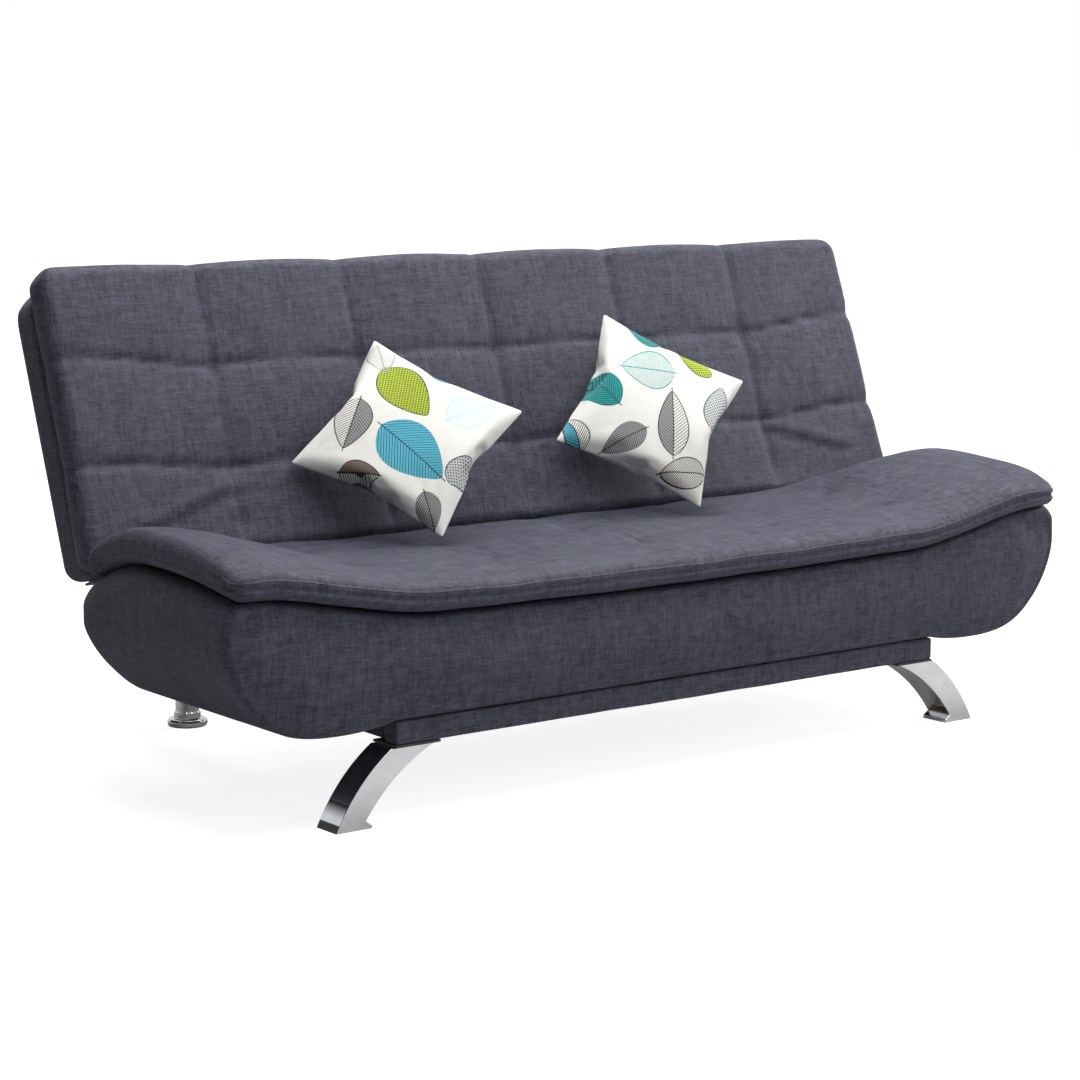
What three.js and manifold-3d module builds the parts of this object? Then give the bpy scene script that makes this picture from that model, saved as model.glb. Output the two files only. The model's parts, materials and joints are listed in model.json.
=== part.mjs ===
// A three-seat click-clack sofa bed: an upholstered seat and back hinged together on a low base
// with chrome legs, and two loose scatter cushions.
// Millimetres, +Z up, X along the sofa, -Y to the front. The origin is on the floor under the
// middle of the sofa's box.
import * as THREE from "three";
import { mergeVertices } from "three/addons/utils/BufferGeometryUtils.js";
import Module from "manifold-3d";

const wasm = await Module();
wasm.setup();

// ---- Driving dimensions ----
const CLEAR = 0.4; // gap left between pieces that touch

const HULL_WIDTH = 1876; // widest part of the upholstered seat body
const PAD_SETBACK = 5; // the pads stop this far inside the seat body at each end
const SOFA_DEPTH = 936; // front of the seat pad to the back of the rear glides
const HULL_INSET = 18; // the seat body stands this far behind the pad's front edge
const HULL_DEPTH = 482;
const DECK_Z = 338; // top of the seat body at mid-width
const PAD_THICK = 62;
const PAD_LIFT = 4; // slack between the deck and the pad laid on it
const PAD_TUCK = 90; // how far the seat pad reaches in under the back pad
const PAD_ROLL = 26; // rounding of the seat pad's lower edges
const PAD_SHOULDER = 90; // length over which its top rounds down to the front
const PAD_HEEL = 60; // length over which its top rounds down to the rear
const DECK_BOW = 20; // rise of the deck from its middle to its ends, all along
const END_RISE = 50; // further rise over the last stretch at each end
const END_RISE_LENGTH = 400;
const CREST_SHARE = 0.6; // crest of the ends, as a share of the seat body's depth from its front
const CREST_GAIN = 1.2; // the saddle's rise at that crest, as a share of its nominal rise
const FRONT_FALL = 0.3; // share of the rise lost from the crest to the front
const REAR_FALL = 0.85; // and to the rear
const END_TURN = 118; // the underside turns up over this length at each end
const UNDER_SAG = 14; // the underside's drop between the base and the turn
const DECK_EDGE = 26; // rounding between the end and the deck

const BASE_TOP = 172;
const RAIL_THICK = 40;
const BASE_WIDTH = 1226;
const SIDE_RAIL_INSET = 13; // side and rear rails inside the front rail's ends
const FRONT_RAIL_SETBACK = 28; // base front rail behind the pad's front edge
const FRONT_RAIL_WIDTH = 38;
const SIDE_RAIL_WIDTH = 40;
const CROSS_RAIL_SETBACK = 12; // cross rail, under the seat body's rear wall
const LEG_PLATE_THICK = 4;
const LEG_PLATE_WIDTH = 70;
const LEG_BAR_DEPTH = 60; // chrome bar, front to back
const LEG_REACH = 116; // front feet beyond the base at each end
const LEG_FOOT = 70; // width of a front foot on the floor
const LEG_HEAD = 88; // width of a front leg under its plate
const LEG_SWEEP = 108; // how far a front leg's outer curve comes in from foot to plate
const HEEL_LIP = 12; // small step at the inner side of a front foot
const REAR_LEG_INSET = 109; // rear legs' axes inside the base at each end
const REAR_LEG_RADIUS = 22.5;
const GLIDE_RADIUS = 38;
const GLIDE_HEIGHT = 14;

const PIVOT_ABOVE_DECK = 9;
const PIVOT_BEHIND_HULL = 35; // hinge axis behind the seat body's rear face
const PIN_RADIUS = 6;
const PIN_FIT = 0.3; // radial room round a pin
const PLATE = 4; // hinge plates
const RAKE = 20; // lean of the back, degrees
const HINGE_INSET = 70; // hinge plates in from the seat body's end
const LUG_RADIUS = 16; // round the pivot pins, seat side
const EYE_RADIUS = 18; // round the pivot and hinge pins, other plates
const BRACKET_FOOT = 60;
const BRACKET_NECK = 60; // a bracket narrows below the pivot by this much
const LUG_WIDTH = 40;
const HINGE_FLANGE = 34; // width of the flanges screwed to the seat and the back
const SECTOR_GAP = 5; // between the toothed sector and the seat body
const NOTCH_RADIUS = 4;
const NOTCH_STEP = 32; // degrees between the places where the back can stand
const PAWL_RADIUS = 8;
const PAWL_STUB_RADIUS = 4;
const PAWL_LENGTH = 28; // from the pawl's axis to the sector's rim

const BACK_HEIGHT = 530; // back pad along its slope
const BACK_START = 27; // back pad's lower edge above the hinge axis
const BACK_PAD_FRONT = 80; // pad's front face ahead of the hinge axis
const BACK_PAD_THICK = 55;
const TOP_ROLL = 24; // rounding of the back pad's upper rear edge
const TOP_TAPER = 80; // length over which its face turns back at the top
const FOOT_TAPER = 66; // and at the bottom
const FOOT_ROLL = 16;
const SHELL_SIDE_INSET = 28; // back shell narrower than the pad at each end
const SHELL_THICK = 97;
const SHELL_ROLL = 24;
const SHELL_DROP = 9; // back shell lower than the pad at the top

const WALL = 20; // padding and board of the seat body
const FRAME_RAIL = 30;
const FRAME_DROP_SHARE = 0.35; // seat frame below the deck, as a share of the body's height
const SEAT_RAIL_SHARE = 0.266; // seat rails' height, as a share of the body's height
const BACK_RAIL_HEIGHT = 40;
const WIRE_RADIUS = 2;
const SPRING_WAVES = 8;
const SPRING_SWING = 24;
const SPRING_STEPS = 46;
const SPRING_RISE = 8; // arch of a seat spring
const SEAT_SPRINGS = 4;
const BACK_SPRINGS = 4;

const CUSHION_SIDE = 305; // corner to corner along a side, when filled
const CUSHION_THICK = 88;
const SIDE_PULL = 0.06; // a filled cushion's sides draw in by this share between its corners
const SEAM_SHARE = 0.12; // thickness at the seam, as a share of the middle's

// ---- Sizes worked out from them ----
const PAD_WIDTH = HULL_WIDTH - 2 * PAD_SETBACK;
const PAD_UNDER = DECK_Z + PAD_LIFT;
const PAD_TOP = PAD_UNDER + PAD_THICK;
const FRONT_Y = -SOFA_DEPTH / 2;
const REAR_Y = SOFA_DEPTH / 2;
const HULL_FRONT = FRONT_Y + HULL_INSET;
const HULL_REAR = HULL_FRONT + HULL_DEPTH;
const PIVOT_Y = HULL_REAR + PIVOT_BEHIND_HULL;
const PIVOT_Z = DECK_Z + PIVOT_ABOVE_DECK;
const PAD_REAR = PIVOT_Y - (BACK_PAD_FRONT + PAD_THICK - PAD_TUCK);
const HULL_BOTTOM = BASE_TOP + CLEAR;
const BODY_HEIGHT = DECK_Z - HULL_BOTTOM;
const HINGE_X = HULL_WIDTH / 2 - HINGE_INSET;
const BASE_BOTTOM = BASE_TOP - RAIL_THICK;
const PLATE_BOTTOM = BASE_BOTTOM - CLEAR - LEG_PLATE_THICK;
const SHELL_START = BACK_START - 1;
const SHELL_HEIGHT = BACK_HEIGHT - SHELL_DROP;

// ---- Materials ----
function material(color, roughness, metalness) {
  return () => new THREE.MeshStandardMaterial({ color, roughness, metalness });
}
const greyFabric = material(0x45454f, 0.95, 0);
const liningFabric = material(0x1d1d20, 1, 0);
const foam = material(0xe8dfae, 0.95, 0);
const timber = material(0xb9905c, 0.7, 0);
const chrome = material(0xd9dcdf, 0.12, 1);
const steel = material(0x33363a, 0.45, 0.8);
const springWire = material(0x8b8f94, 0.35, 1);
const printedLinen = material(0xe9e8e2, 0.95, 0);

// ---- Geometry helpers ----
function solidOf(geometry) {
  const bare = geometry.clone();
  bare.deleteAttribute("normal");
  bare.deleteAttribute("uv");
  const merged = mergeVertices(bare, 1e-3);
  return new wasm.Manifold(
    new wasm.Mesh({
      numProp: 3,
      vertProperties: new Float32Array(merged.attributes.position.array),
      triVerts: new Uint32Array(merged.index.array),
    }),
  );
}

function geometryOf(solid) {
  const { vertProperties, triVerts } = solid.getMesh();
  const geometry = new THREE.BufferGeometry();
  geometry.setAttribute("position", new THREE.BufferAttribute(vertProperties, 3));
  geometry.setIndex(new THREE.BufferAttribute(triVerts, 1));
  geometry.computeVertexNormals();
  return geometry;
}

function cut(geometry, ...tools) {
  return geometryOf(tools.reduce((solid, tool) => solid.subtract(solidOf(tool)), solidOf(geometry)));
}

function join(geometry, ...others) {
  return geometryOf(others.reduce((solid, other) => solid.add(solidOf(other)), solidOf(geometry)));
}

// A box between two corners.
function block(x0, x1, y0, y1, z0, z1) {
  const geometry = new THREE.BoxGeometry(x1 - x0, y1 - y0, z1 - z0);
  return geometry.translate((x0 + x1) / 2, (y0 + y1) / 2, (z0 + z1) / 2);
}

// A cylinder along X, centred on (x, y, z).
function rodAlongX(radius, length, x, y, z, sides = 20) {
  const geometry = new THREE.CylinderGeometry(radius, radius, length, sides);
  return geometry.rotateZ(Math.PI / 2).translate(x, y, z);
}

// An outline drawn in (y, z), extruded along X from x0 to x1.
function plateAcrossX(shape, x0, x1, options = {}) {
  const bevel = options.bevel ?? 0;
  const geometry = new THREE.ExtrudeGeometry(shape, {
    depth: x1 - x0 - 2 * bevel,
    steps: options.steps ?? 1,
    curveSegments: options.curveSegments ?? 8,
    bevelEnabled: bevel > 0,
    bevelThickness: bevel,
    bevelSize: bevel,
    bevelOffset: -bevel,
    bevelSegments: 3,
  });
  // The shape's own x becomes Y and its y becomes Z, so the extrusion runs along X.
  const turn = new THREE.Matrix4().set(0, 0, 1, x0 + bevel, 1, 0, 0, 0, 0, 1, 0, 0, 0, 0, 0, 1);
  return geometry.applyMatrix4(turn);
}

// An outline drawn in (x, z), extruded along Y from y0 to y1.
function plateAcrossY(shape, y0, y1, options = {}) {
  const bevel = options.bevel ?? 0;
  const geometry = new THREE.ExtrudeGeometry(shape, {
    depth: y1 - y0 - 2 * bevel,
    steps: options.steps ?? 1,
    curveSegments: options.curveSegments ?? 8,
    bevelEnabled: bevel > 0,
    bevelThickness: bevel,
    bevelSize: bevel,
    bevelOffset: -bevel,
    bevelSegments: 3,
  });
  return geometry.rotateX(Math.PI / 2).translate(0, y1 - bevel, 0);
}

function outline(points) {
  return new THREE.Shape(points.map(([a, b]) => new THREE.Vector2(a, b)));
}

// A rectangle with rounded corners, drawn anticlockwise.
function roundedRectangle(a0, a1, b0, b1, radius) {
  const shape = new THREE.Shape();
  shape.moveTo(a0 + radius, b0);
  shape.lineTo(a1 - radius, b0);
  shape.absarc(a1 - radius, b0 + radius, radius, -Math.PI / 2, 0);
  shape.lineTo(a1, b1 - radius);
  shape.absarc(a1 - radius, b1 - radius, radius, 0, Math.PI / 2);
  shape.lineTo(a0 + radius, b1);
  shape.absarc(a0 + radius, b1 - radius, radius, Math.PI / 2, Math.PI);
  shape.lineTo(a0, b0 + radius);
  shape.absarc(a0 + radius, b0 + radius, radius, Math.PI, 1.5 * Math.PI);
  return shape;
}

function smoothstep(t) {
  const s = Math.min(1, Math.max(0, t));
  return s * s * (3 - 2 * s);
}

function moveVertices(geometry, rule) {
  const place = geometry.attributes.position;
  for (let i = 0; i < place.count; i += 1) {
    place.setZ(i, rule(place.getX(i), place.getY(i), place.getZ(i)));
  }
  return geometry;
}

const parts = new THREE.Group();
const back = new THREE.Group(); // its own frame: hinge axis at the origin, +Z up the back
back.position.set(0, PIVOT_Y, PIVOT_Z);
back.rotation.x = -THREE.MathUtils.degToRad(RAKE);
parts.add(back);

function piece(name, geometry, finish, group = parts) {
  const mesh = new THREE.Mesh(geometry, finish());
  mesh.name = name;
  group.add(mesh);
  return mesh;
}

const SIDES = [
  ["left", -1],
  ["right", 1],
];

// A block whose X limits are given away from the middle, placed on one side.
function sideBlock(side, inner, outer, y0, y1, z0, z1) {
  return block(Math.min(side * inner, side * outer), Math.max(side * inner, side * outer), y0, y1, z0, z1);
}

function sidePlate(side, shape, inner, outer) {
  return plateAcrossX(shape, Math.min(side * inner, side * outer), Math.max(side * inner, side * outer));
}

// ---- The saddle: how far the deck and pad rise above their middle ----
function saddle(x) {
  const half = PAD_WIDTH / 2;
  const fromStart = Math.abs(x) - (half - END_RISE_LENGTH);
  return DECK_BOW * (x / half) ** 2 + END_RISE * smoothstep(fromStart / (END_RISE_LENGTH - DECK_EDGE));
}

// The ends rise most a little behind mid-depth and fall away to the front and the rear.
function crown(y) {
  const crest = HULL_FRONT + CREST_SHARE * HULL_DEPTH;
  const ahead = Math.max(0, crest - y) / (crest - HULL_FRONT);
  const behind = Math.max(0, y - crest) / (HULL_REAR - crest);
  return CREST_GAIN - FRONT_FALL * Math.min(1, ahead) ** 2 - REAR_FALL * Math.min(1, behind) ** 2;
}

// ---- Base ----
function baseFrame() {
  const half = BASE_WIDTH / 2;
  const frontY = FRONT_Y + FRONT_RAIL_SETBACK;
  const behindFront = frontY + FRONT_RAIL_WIDTH + CLEAR;
  const rearLegY = REAR_Y - GLIDE_RADIUS;
  const rearRailFront = rearLegY - SIDE_RAIL_WIDTH / 2;
  const sideOuter = half - SIDE_RAIL_INSET;
  const sideInner = sideOuter - SIDE_RAIL_WIDTH;
  piece("base_front_rail",
    block(-half, half, frontY, frontY + FRONT_RAIL_WIDTH, BASE_BOTTOM, BASE_TOP), greyFabric);
  const rearRailBack = rearRailFront + SIDE_RAIL_WIDTH;
  piece("base_rear_rail",
    block(-sideOuter, sideOuter, rearRailFront, rearRailBack, BASE_BOTTOM, BASE_TOP), timber);
  const sideRear = rearRailFront - CLEAR;
  for (const [word, side] of SIDES) {
    piece(`base_side_rail_${word}`,
      sideBlock(side, sideInner, sideOuter, behindFront, sideRear, BASE_BOTTOM, BASE_TOP), greyFabric);
  }
  const crossX = sideInner - CLEAR;
  const crossRear = HULL_REAR - CROSS_RAIL_SETBACK;
  piece("base_cross_rail",
    block(-crossX, crossX, crossRear - SIDE_RAIL_WIDTH, crossRear, BASE_BOTTOM, BASE_TOP), timber);
  return { rearLegY, sideInner, sideOuter, frontY };
}

// A swept bar: it leaves its plate nearly level and turns down to a wider foot.
function frontLeg(word, side, frontY) {
  const half = BASE_WIDTH / 2;
  const foot = half + LEG_REACH;
  const top = PLATE_BOTTOM - CLEAR;
  const barFront = frontY + (LEG_PLATE_WIDTH - LEG_BAR_DEPTH) / 2;
  const shape = new THREE.Shape();
  shape.moveTo(foot - LEG_FOOT, 0);
  shape.lineTo(foot, 0);
  shape.quadraticCurveTo(foot - 0.35 * LEG_SWEEP, 0.62 * top, foot - LEG_SWEEP, top);
  shape.lineTo(foot - LEG_SWEEP - LEG_HEAD, top);
  shape.quadraticCurveTo(foot - 1.04 * LEG_SWEEP, 0.72 * top, foot - LEG_FOOT + HEEL_LIP, 1.2 * HEEL_LIP);
  const bar = plateAcrossY(shape, barFront, barFront + LEG_BAR_DEPTH, { curveSegments: 9 });
  if (side < 0) {
    bar.rotateZ(Math.PI).translate(0, 2 * barFront + LEG_BAR_DEPTH, 0);
  }
  piece(`front_leg_${word}`, bar, chrome);
  const plateRear = frontY + LEG_PLATE_WIDTH;
  piece(`front_leg_plate_${word}`,
    sideBlock(side, half - LEG_HEAD, half, frontY, plateRear, PLATE_BOTTOM, BASE_BOTTOM - CLEAR), steel);
}

function rearLeg(word, side, rearLegY) {
  const x = side * (BASE_WIDTH / 2 - REAR_LEG_INSET);
  const tubeBottom = GLIDE_HEIGHT + CLEAR;
  const tubeTop = BASE_BOTTOM - CLEAR;
  const tube = new THREE.CylinderGeometry(REAR_LEG_RADIUS, REAR_LEG_RADIUS, tubeTop - tubeBottom, 28);
  tube.rotateX(Math.PI / 2).translate(x, rearLegY, (tubeTop + tubeBottom) / 2);
  piece(`rear_leg_${word}`, tube, chrome);
  const disc = new THREE.LatheGeometry([
    new THREE.Vector2(0, 0),
    new THREE.Vector2(GLIDE_RADIUS - 2, 0),
    new THREE.Vector2(GLIDE_RADIUS, 3),
    new THREE.Vector2(GLIDE_RADIUS, GLIDE_HEIGHT - 4),
    new THREE.Vector2(GLIDE_RADIUS - 4, GLIDE_HEIGHT),
    new THREE.Vector2(0, GLIDE_HEIGHT),
  ], 32);
  disc.rotateX(Math.PI / 2).translate(x, rearLegY, 0);
  piece(`rear_leg_glide_${word}`, disc, chrome);
}

// ---- Pivots between the base and the seat ----
const LUG_TOP = PIVOT_Z + 6; // where the lugs' and arms' upper edges meet the seat body
const LUG_BOTTOM = PIVOT_Z - 45;

function lugOutline(y0) {
  const shape = new THREE.Shape();
  shape.moveTo(y0, LUG_BOTTOM);
  shape.lineTo(PIVOT_Y, PIVOT_Z - LUG_RADIUS);
  shape.absarc(PIVOT_Y, PIVOT_Z, LUG_RADIUS, -Math.PI / 2, Math.PI / 2);
  shape.lineTo(y0, LUG_TOP);
  return shape;
}

function pinHole(side, inner, outer) {
  const middle = (side * (inner + outer)) / 2;
  return rodAlongX(PIN_RADIUS + PIN_FIT, outer - inner + 4, middle, PIVOT_Y, PIVOT_Z, 24);
}

function basePivot(word, side, sideInner, sideOuter) {
  const footZ = BASE_TOP + CLEAR;
  const behindSeat = HULL_REAR + PLATE + 3;
  const inner = sideInner + (SIDE_RAIL_WIDTH - PLATE) / 2;
  const neckZ = PIVOT_Z - BRACKET_NECK;
  const post = new THREE.Shape();
  post.moveTo(behindSeat, footZ);
  post.lineTo(PIVOT_Y + 3, footZ);
  post.lineTo(PIVOT_Y + 3, neckZ);
  post.lineTo(PIVOT_Y + EYE_RADIUS, PIVOT_Z);
  post.absarc(PIVOT_Y, PIVOT_Z, EYE_RADIUS, 0, Math.PI);
  post.lineTo(behindSeat, neckZ);
  const footRear = behindSeat + BRACKET_FOOT;
  const foot = sideBlock(side, sideInner + 2, sideOuter - 2, behindSeat, footRear, footZ, footZ + PLATE);
  const bracket = join(foot, sidePlate(side, post, inner, inner + PLATE));
  piece(`base_bracket_${word}`, cut(bracket, pinHole(side, inner, inner + PLATE)), steel);

  const lugInner = inner + PLATE + CLEAR;
  const lugOuter = lugInner + LUG_WIDTH;
  const flangeTop = DECK_Z - 5;
  const flange = sideBlock(
    side, lugInner, lugOuter, HULL_REAR + CLEAR, HULL_REAR + PLATE, LUG_BOTTOM - 5, flangeTop);
  const ear = sidePlate(side, lugOutline(HULL_REAR + CLEAR), lugInner, lugInner + PLATE);
  piece(`seat_lug_${word}`, cut(join(flange, ear), pinHole(side, lugInner, lugInner + PLATE)), steel);
  headedPin(`pivot_pin_${word}`, side, inner, lugInner + PLATE);
}

// A pin with a head at its inner end, through plates that lie between inner and outer.
function headedPin(name, side, inner, outer) {
  const headThick = 4;
  const shankX = (side * (inner + outer + headThick)) / 2;
  const shank = rodAlongX(PIN_RADIUS, outer - inner + 6, shankX, PIVOT_Y, PIVOT_Z, 20);
  const headX = side * (inner - CLEAR - headThick / 2);
  const head = rodAlongX(PIN_RADIUS + 4, headThick, headX, PIVOT_Y, PIVOT_Z, 20);
  piece(name, join(shank, head), steel);
}

// ---- Click-clack hinge between the seat and the back ----
const SECTOR_RADIUS = PIVOT_BEHIND_HULL - SECTOR_GAP;
const PAWL_Y = PIVOT_Y - 4;
const PAWL_Z = PIVOT_Z - SECTOR_RADIUS - PAWL_LENGTH;
const BACK_ARM_INNER = HINGE_X;
const SEAT_ARM_INNER = HINGE_X + PLATE + CLEAR;

function hingeSeatArm(word, side) {
  const inner = SEAT_ARM_INNER;
  const shape = new THREE.Shape();
  const bottom = PAWL_Z - 1.5 * PAWL_RADIUS;
  shape.moveTo(HULL_REAR + CLEAR, bottom);
  shape.lineTo(PAWL_Y, bottom);
  shape.lineTo(PIVOT_Y + 1.5 * PAWL_RADIUS, PAWL_Z);
  shape.lineTo(PIVOT_Y + EYE_RADIUS, PIVOT_Z);
  shape.absarc(PIVOT_Y, PIVOT_Z, EYE_RADIUS, 0, Math.PI / 2);
  shape.lineTo(HULL_REAR + CLEAR, LUG_TOP);
  const flangeInner = inner - HINGE_FLANGE;
  const flange = sideBlock(
    side, flangeInner, inner + PLATE, HULL_REAR + CLEAR, HULL_REAR + PLATE,
    bottom - PAWL_RADIUS, PIVOT_Z - 2);
  const pawlHoleRadius = PAWL_STUB_RADIUS + PIN_FIT;
  const pawlHole = rodAlongX(pawlHoleRadius, 2 * PLATE, side * (inner + PLATE / 2), PAWL_Y, PAWL_Z, 16);
  const arm = join(flange, sidePlate(side, shape, inner, inner + PLATE));
  piece(`hinge_seat_arm_${word}`, cut(arm, pinHole(side, inner, inner + PLATE), pawlHole), steel);
}

// The back arm ends in a toothed sector: one notch for each place the back can stand.
function hingeBackArm(word, side) {
  const inner = BACK_ARM_INNER;
  const seatTop = SHELL_START - CLEAR;
  const shape = new THREE.Shape();
  shape.moveTo(-14, seatTop);
  shape.absarc(0, 0, SECTOR_RADIUS, THREE.MathUtils.degToRad(150), THREE.MathUtils.degToRad(390));
  shape.lineTo(SECTOR_RADIUS, seatTop);
  const flange = sideBlock(side, inner - HINGE_FLANGE, inner + PLATE, -14, 60, seatTop - PLATE, seatTop);
  const notches = [0, NOTCH_STEP, 2 * NOTCH_STEP].map((degrees) => {
    const angle = THREE.MathUtils.degToRad(-90 + RAKE - 2 + degrees);
    const y = SECTOR_RADIUS * Math.cos(angle);
    const z = SECTOR_RADIUS * Math.sin(angle);
    return rodAlongX(NOTCH_RADIUS, 2 * PLATE, side * (inner + PLATE / 2), y, z, 12);
  });
  const hole = rodAlongX(PIN_RADIUS + PIN_FIT, 2 * PLATE, side * (inner + PLATE / 2), 0, 0, 24);
  const arm = join(sidePlate(side, shape, inner, inner + PLATE), flange);
  piece(`hinge_back_arm_${word}`, cut(arm, hole, ...notches), steel, back);
}

// The pawl is a short lever with a nose just clear of the sector's rim.
function pawl(word, side) {
  const inner = BACK_ARM_INNER;
  const noseZ = PIVOT_Z - SECTOR_RADIUS - CLEAR - 0.4;
  const shape = new THREE.Shape();
  shape.absarc(PAWL_Y, PAWL_Z, PAWL_RADIUS, Math.PI, 2 * Math.PI);
  shape.lineTo(PAWL_Y + 6, noseZ - 6);
  shape.lineTo(PAWL_Y + 3, noseZ);
  shape.lineTo(PAWL_Y - 3, noseZ - 1);
  const lever = sidePlate(side, shape, inner, inner + PLATE);
  const stubLength = 3 * PLATE + CLEAR;
  const stub = rodAlongX(PAWL_STUB_RADIUS, stubLength, side * (inner + PLATE + 3), PAWL_Y, PAWL_Z, 16);
  piece(`pawl_${word}`, join(lever, stub), steel);
}

// Torsion spring round the pawl's stub, on the inner face of the pawl.
class Coil extends THREE.Curve {
  constructor(x, side, turns, radius, pitch) {
    super();
    Object.assign(this, { x, side, turns, radius, pitch });
  }
  getPoint(t, target = new THREE.Vector3()) {
    const angle = 2 * Math.PI * this.turns * t;
    const x = this.x + this.side * this.pitch * this.turns * t;
    return target.set(x, PAWL_Y + this.radius * Math.cos(angle), PAWL_Z + this.radius * Math.sin(angle));
  }
}

function pawlSpring(word, side) {
  const wire = 0.8;
  const turns = 3;
  const pitch = 2.4;
  const start = SEAT_ARM_INNER + PLATE + CLEAR + wire;
  const path = new Coil(side * start, side, turns, 1.5 * PAWL_STUB_RADIUS, pitch);
  const geometry = new THREE.ExtrudeGeometry(wireSection(wire), { steps: 30, extrudePath: path });
  piece(`pawl_spring_${word}`, geometry, springWire);
}

function wireSection(radius) {
  const sides = 5;
  const points = [];
  for (let i = 0; i < sides; i += 1) {
    const angle = (2 * Math.PI * i) / sides;
    points.push([radius * Math.cos(angle), radius * Math.sin(angle)]);
  }
  return outline(points);
}

// ---- Zigzag springs ----
// A flat wire that swings to both sides of its line along X; lift is its arch at the middle.
function zigzagSpring(from, to, lift) {
  const points = [from.clone()];
  const bends = 2 * SPRING_WAVES;
  for (let i = 1; i < bends; i += 1) {
    const share = i / bends;
    const point = from.clone().lerp(to, share);
    point.x += i % 2 ? SPRING_SWING : -SPRING_SWING;
    point.addScaledVector(lift, 4 * share * (1 - share));
    points.push(point);
  }
  points.push(to.clone());
  const path = new THREE.CatmullRomCurve3(points, false, "centripetal");
  return new THREE.ExtrudeGeometry(wireSection(WIRE_RADIUS), { steps: SPRING_STEPS, extrudePath: path });
}

// ---- Seat ----
const FRAME_X = HULL_WIDTH / 2 - 58;
const FRAME_TOP = DECK_Z - FRAME_DROP_SHARE * BODY_HEIGHT;
const FRAME_BOTTOM = FRAME_TOP - SEAT_RAIL_SHARE * BODY_HEIGHT;
const CAVITY_TOP = DECK_Z - 14;
const CAVITY_FRONT = HULL_FRONT + WALL;
const CAVITY_REAR = HULL_REAR - WALL;
const COVER_X = HULL_WIDTH / 2 - 168;
const COVER_THICK = 2;

// Half of the seat body's front outline, from the bottom middle round to the deck's end.
function hullSide() {
  const half = HULL_WIDTH / 2;
  const deckEnd = DECK_Z + saddle(half - DECK_EDGE);
  const start = BASE_WIDTH / 2;
  const bend = half - END_TURN;
  const sagX = (share) => start + share * (bend - start);
  const low = HULL_BOTTOM;
  const turn = new THREE.Shape();
  turn.moveTo(start, low);
  turn.bezierCurveTo(sagX(0.27), low - UNDER_SAG, sagX(0.75), low - 1.3 * UNDER_SAG, bend, low + 2);
  turn.bezierCurveTo(
    half - END_TURN / 2, low + 0.2 * END_TURN, half - 4, low + 0.83 * END_TURN, half, deckEnd - 74);
  turn.bezierCurveTo(half + 1, deckEnd - 40, half - 4, deckEnd - 8, half - DECK_EDGE, deckEnd);
  return turn.getPoints(6);
}

function hullOutline() {
  const right = hullSide();
  const deck = [];
  const stations = 28;
  const end = right[right.length - 1].x;
  for (let i = 1; i < stations; i += 1) {
    const x = end * (1 - (2 * i) / stations);
    deck.push(new THREE.Vector2(x, DECK_Z + saddle(x)));
  }
  const left = right.map((p) => new THREE.Vector2(-p.x, p.y)).reverse();
  return new THREE.Shape([...right, ...deck, ...left]);
}

function seatShell() {
  const body = plateAcrossY(hullOutline(), HULL_FRONT, HULL_REAR, { bevel: 14, steps: 6 });
  const shoulder = DECK_Z - 60; // below this height nothing follows the crown
  moveVertices(body, (x, y, z) => {
    const share = Math.min(1, Math.max(0, (z - shoulder) / (DECK_Z - shoulder)));
    return z + share * saddle(x) * (crown(y) - 1);
  });
  const upper = block(-FRAME_X, FRAME_X, CAVITY_FRONT, CAVITY_REAR, FRAME_BOTTOM - 12, CAVITY_TOP);
  const lower = block(-COVER_X, COVER_X, CAVITY_FRONT, CAVITY_REAR, HULL_BOTTOM - 40, FRAME_BOTTOM);
  piece("seat_shell", cut(body, upper, lower), greyFabric);
  const coverX = COVER_X - CLEAR;
  piece("seat_dust_cover",
    block(-coverX, coverX, CAVITY_FRONT + CLEAR, CAVITY_REAR - CLEAR, HULL_BOTTOM, HULL_BOTTOM + COVER_THICK),
    liningFabric);
}

function seatFrame() {
  const x = FRAME_X - CLEAR;
  const front = CAVITY_FRONT + CLEAR;
  const rear = CAVITY_REAR - CLEAR;
  const betweenFront = front + FRAME_RAIL + CLEAR;
  const betweenRear = rear - FRAME_RAIL - CLEAR;
  piece("seat_frame_front_rail", block(-x, x, front, front + FRAME_RAIL, FRAME_BOTTOM, FRAME_TOP), timber);
  piece("seat_frame_rear_rail", block(-x, x, rear - FRAME_RAIL, rear, FRAME_BOTTOM, FRAME_TOP), timber);
  for (const [word, side] of SIDES) {
    piece(`seat_frame_end_rail_${word}`,
      sideBlock(side, x - FRAME_RAIL, x, betweenFront, betweenRear, FRAME_BOTTOM, FRAME_TOP), timber);
  }
  piece("seat_frame_middle_rail",
    block(-FRAME_RAIL / 2, FRAME_RAIL / 2, betweenFront, betweenRear, FRAME_BOTTOM, FRAME_TOP - 12), timber);
  const wireZ = FRAME_TOP + WIRE_RADIUS + CLEAR;
  const spacing = (2 * x) / (SEAT_SPRINGS + 1);
  for (let i = 0; i < SEAT_SPRINGS; i += 1) {
    const springX = -x + spacing * (i + 1);
    const from = new THREE.Vector3(springX, front + 8, wireZ);
    const to = new THREE.Vector3(springX, rear - 8, wireZ);
    const spring = zigzagSpring(from, to, new THREE.Vector3(0, 0, SPRING_RISE));
    piece(`seat_spring_${i + 1}`, spring, springWire);
  }
  const foamBottom = wireZ + SPRING_RISE + 2 * WIRE_RADIUS + CLEAR;
  piece("seat_foam", block(-x, x, front, rear, foamBottom, CAVITY_TOP - CLEAR), foam);
}

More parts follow.
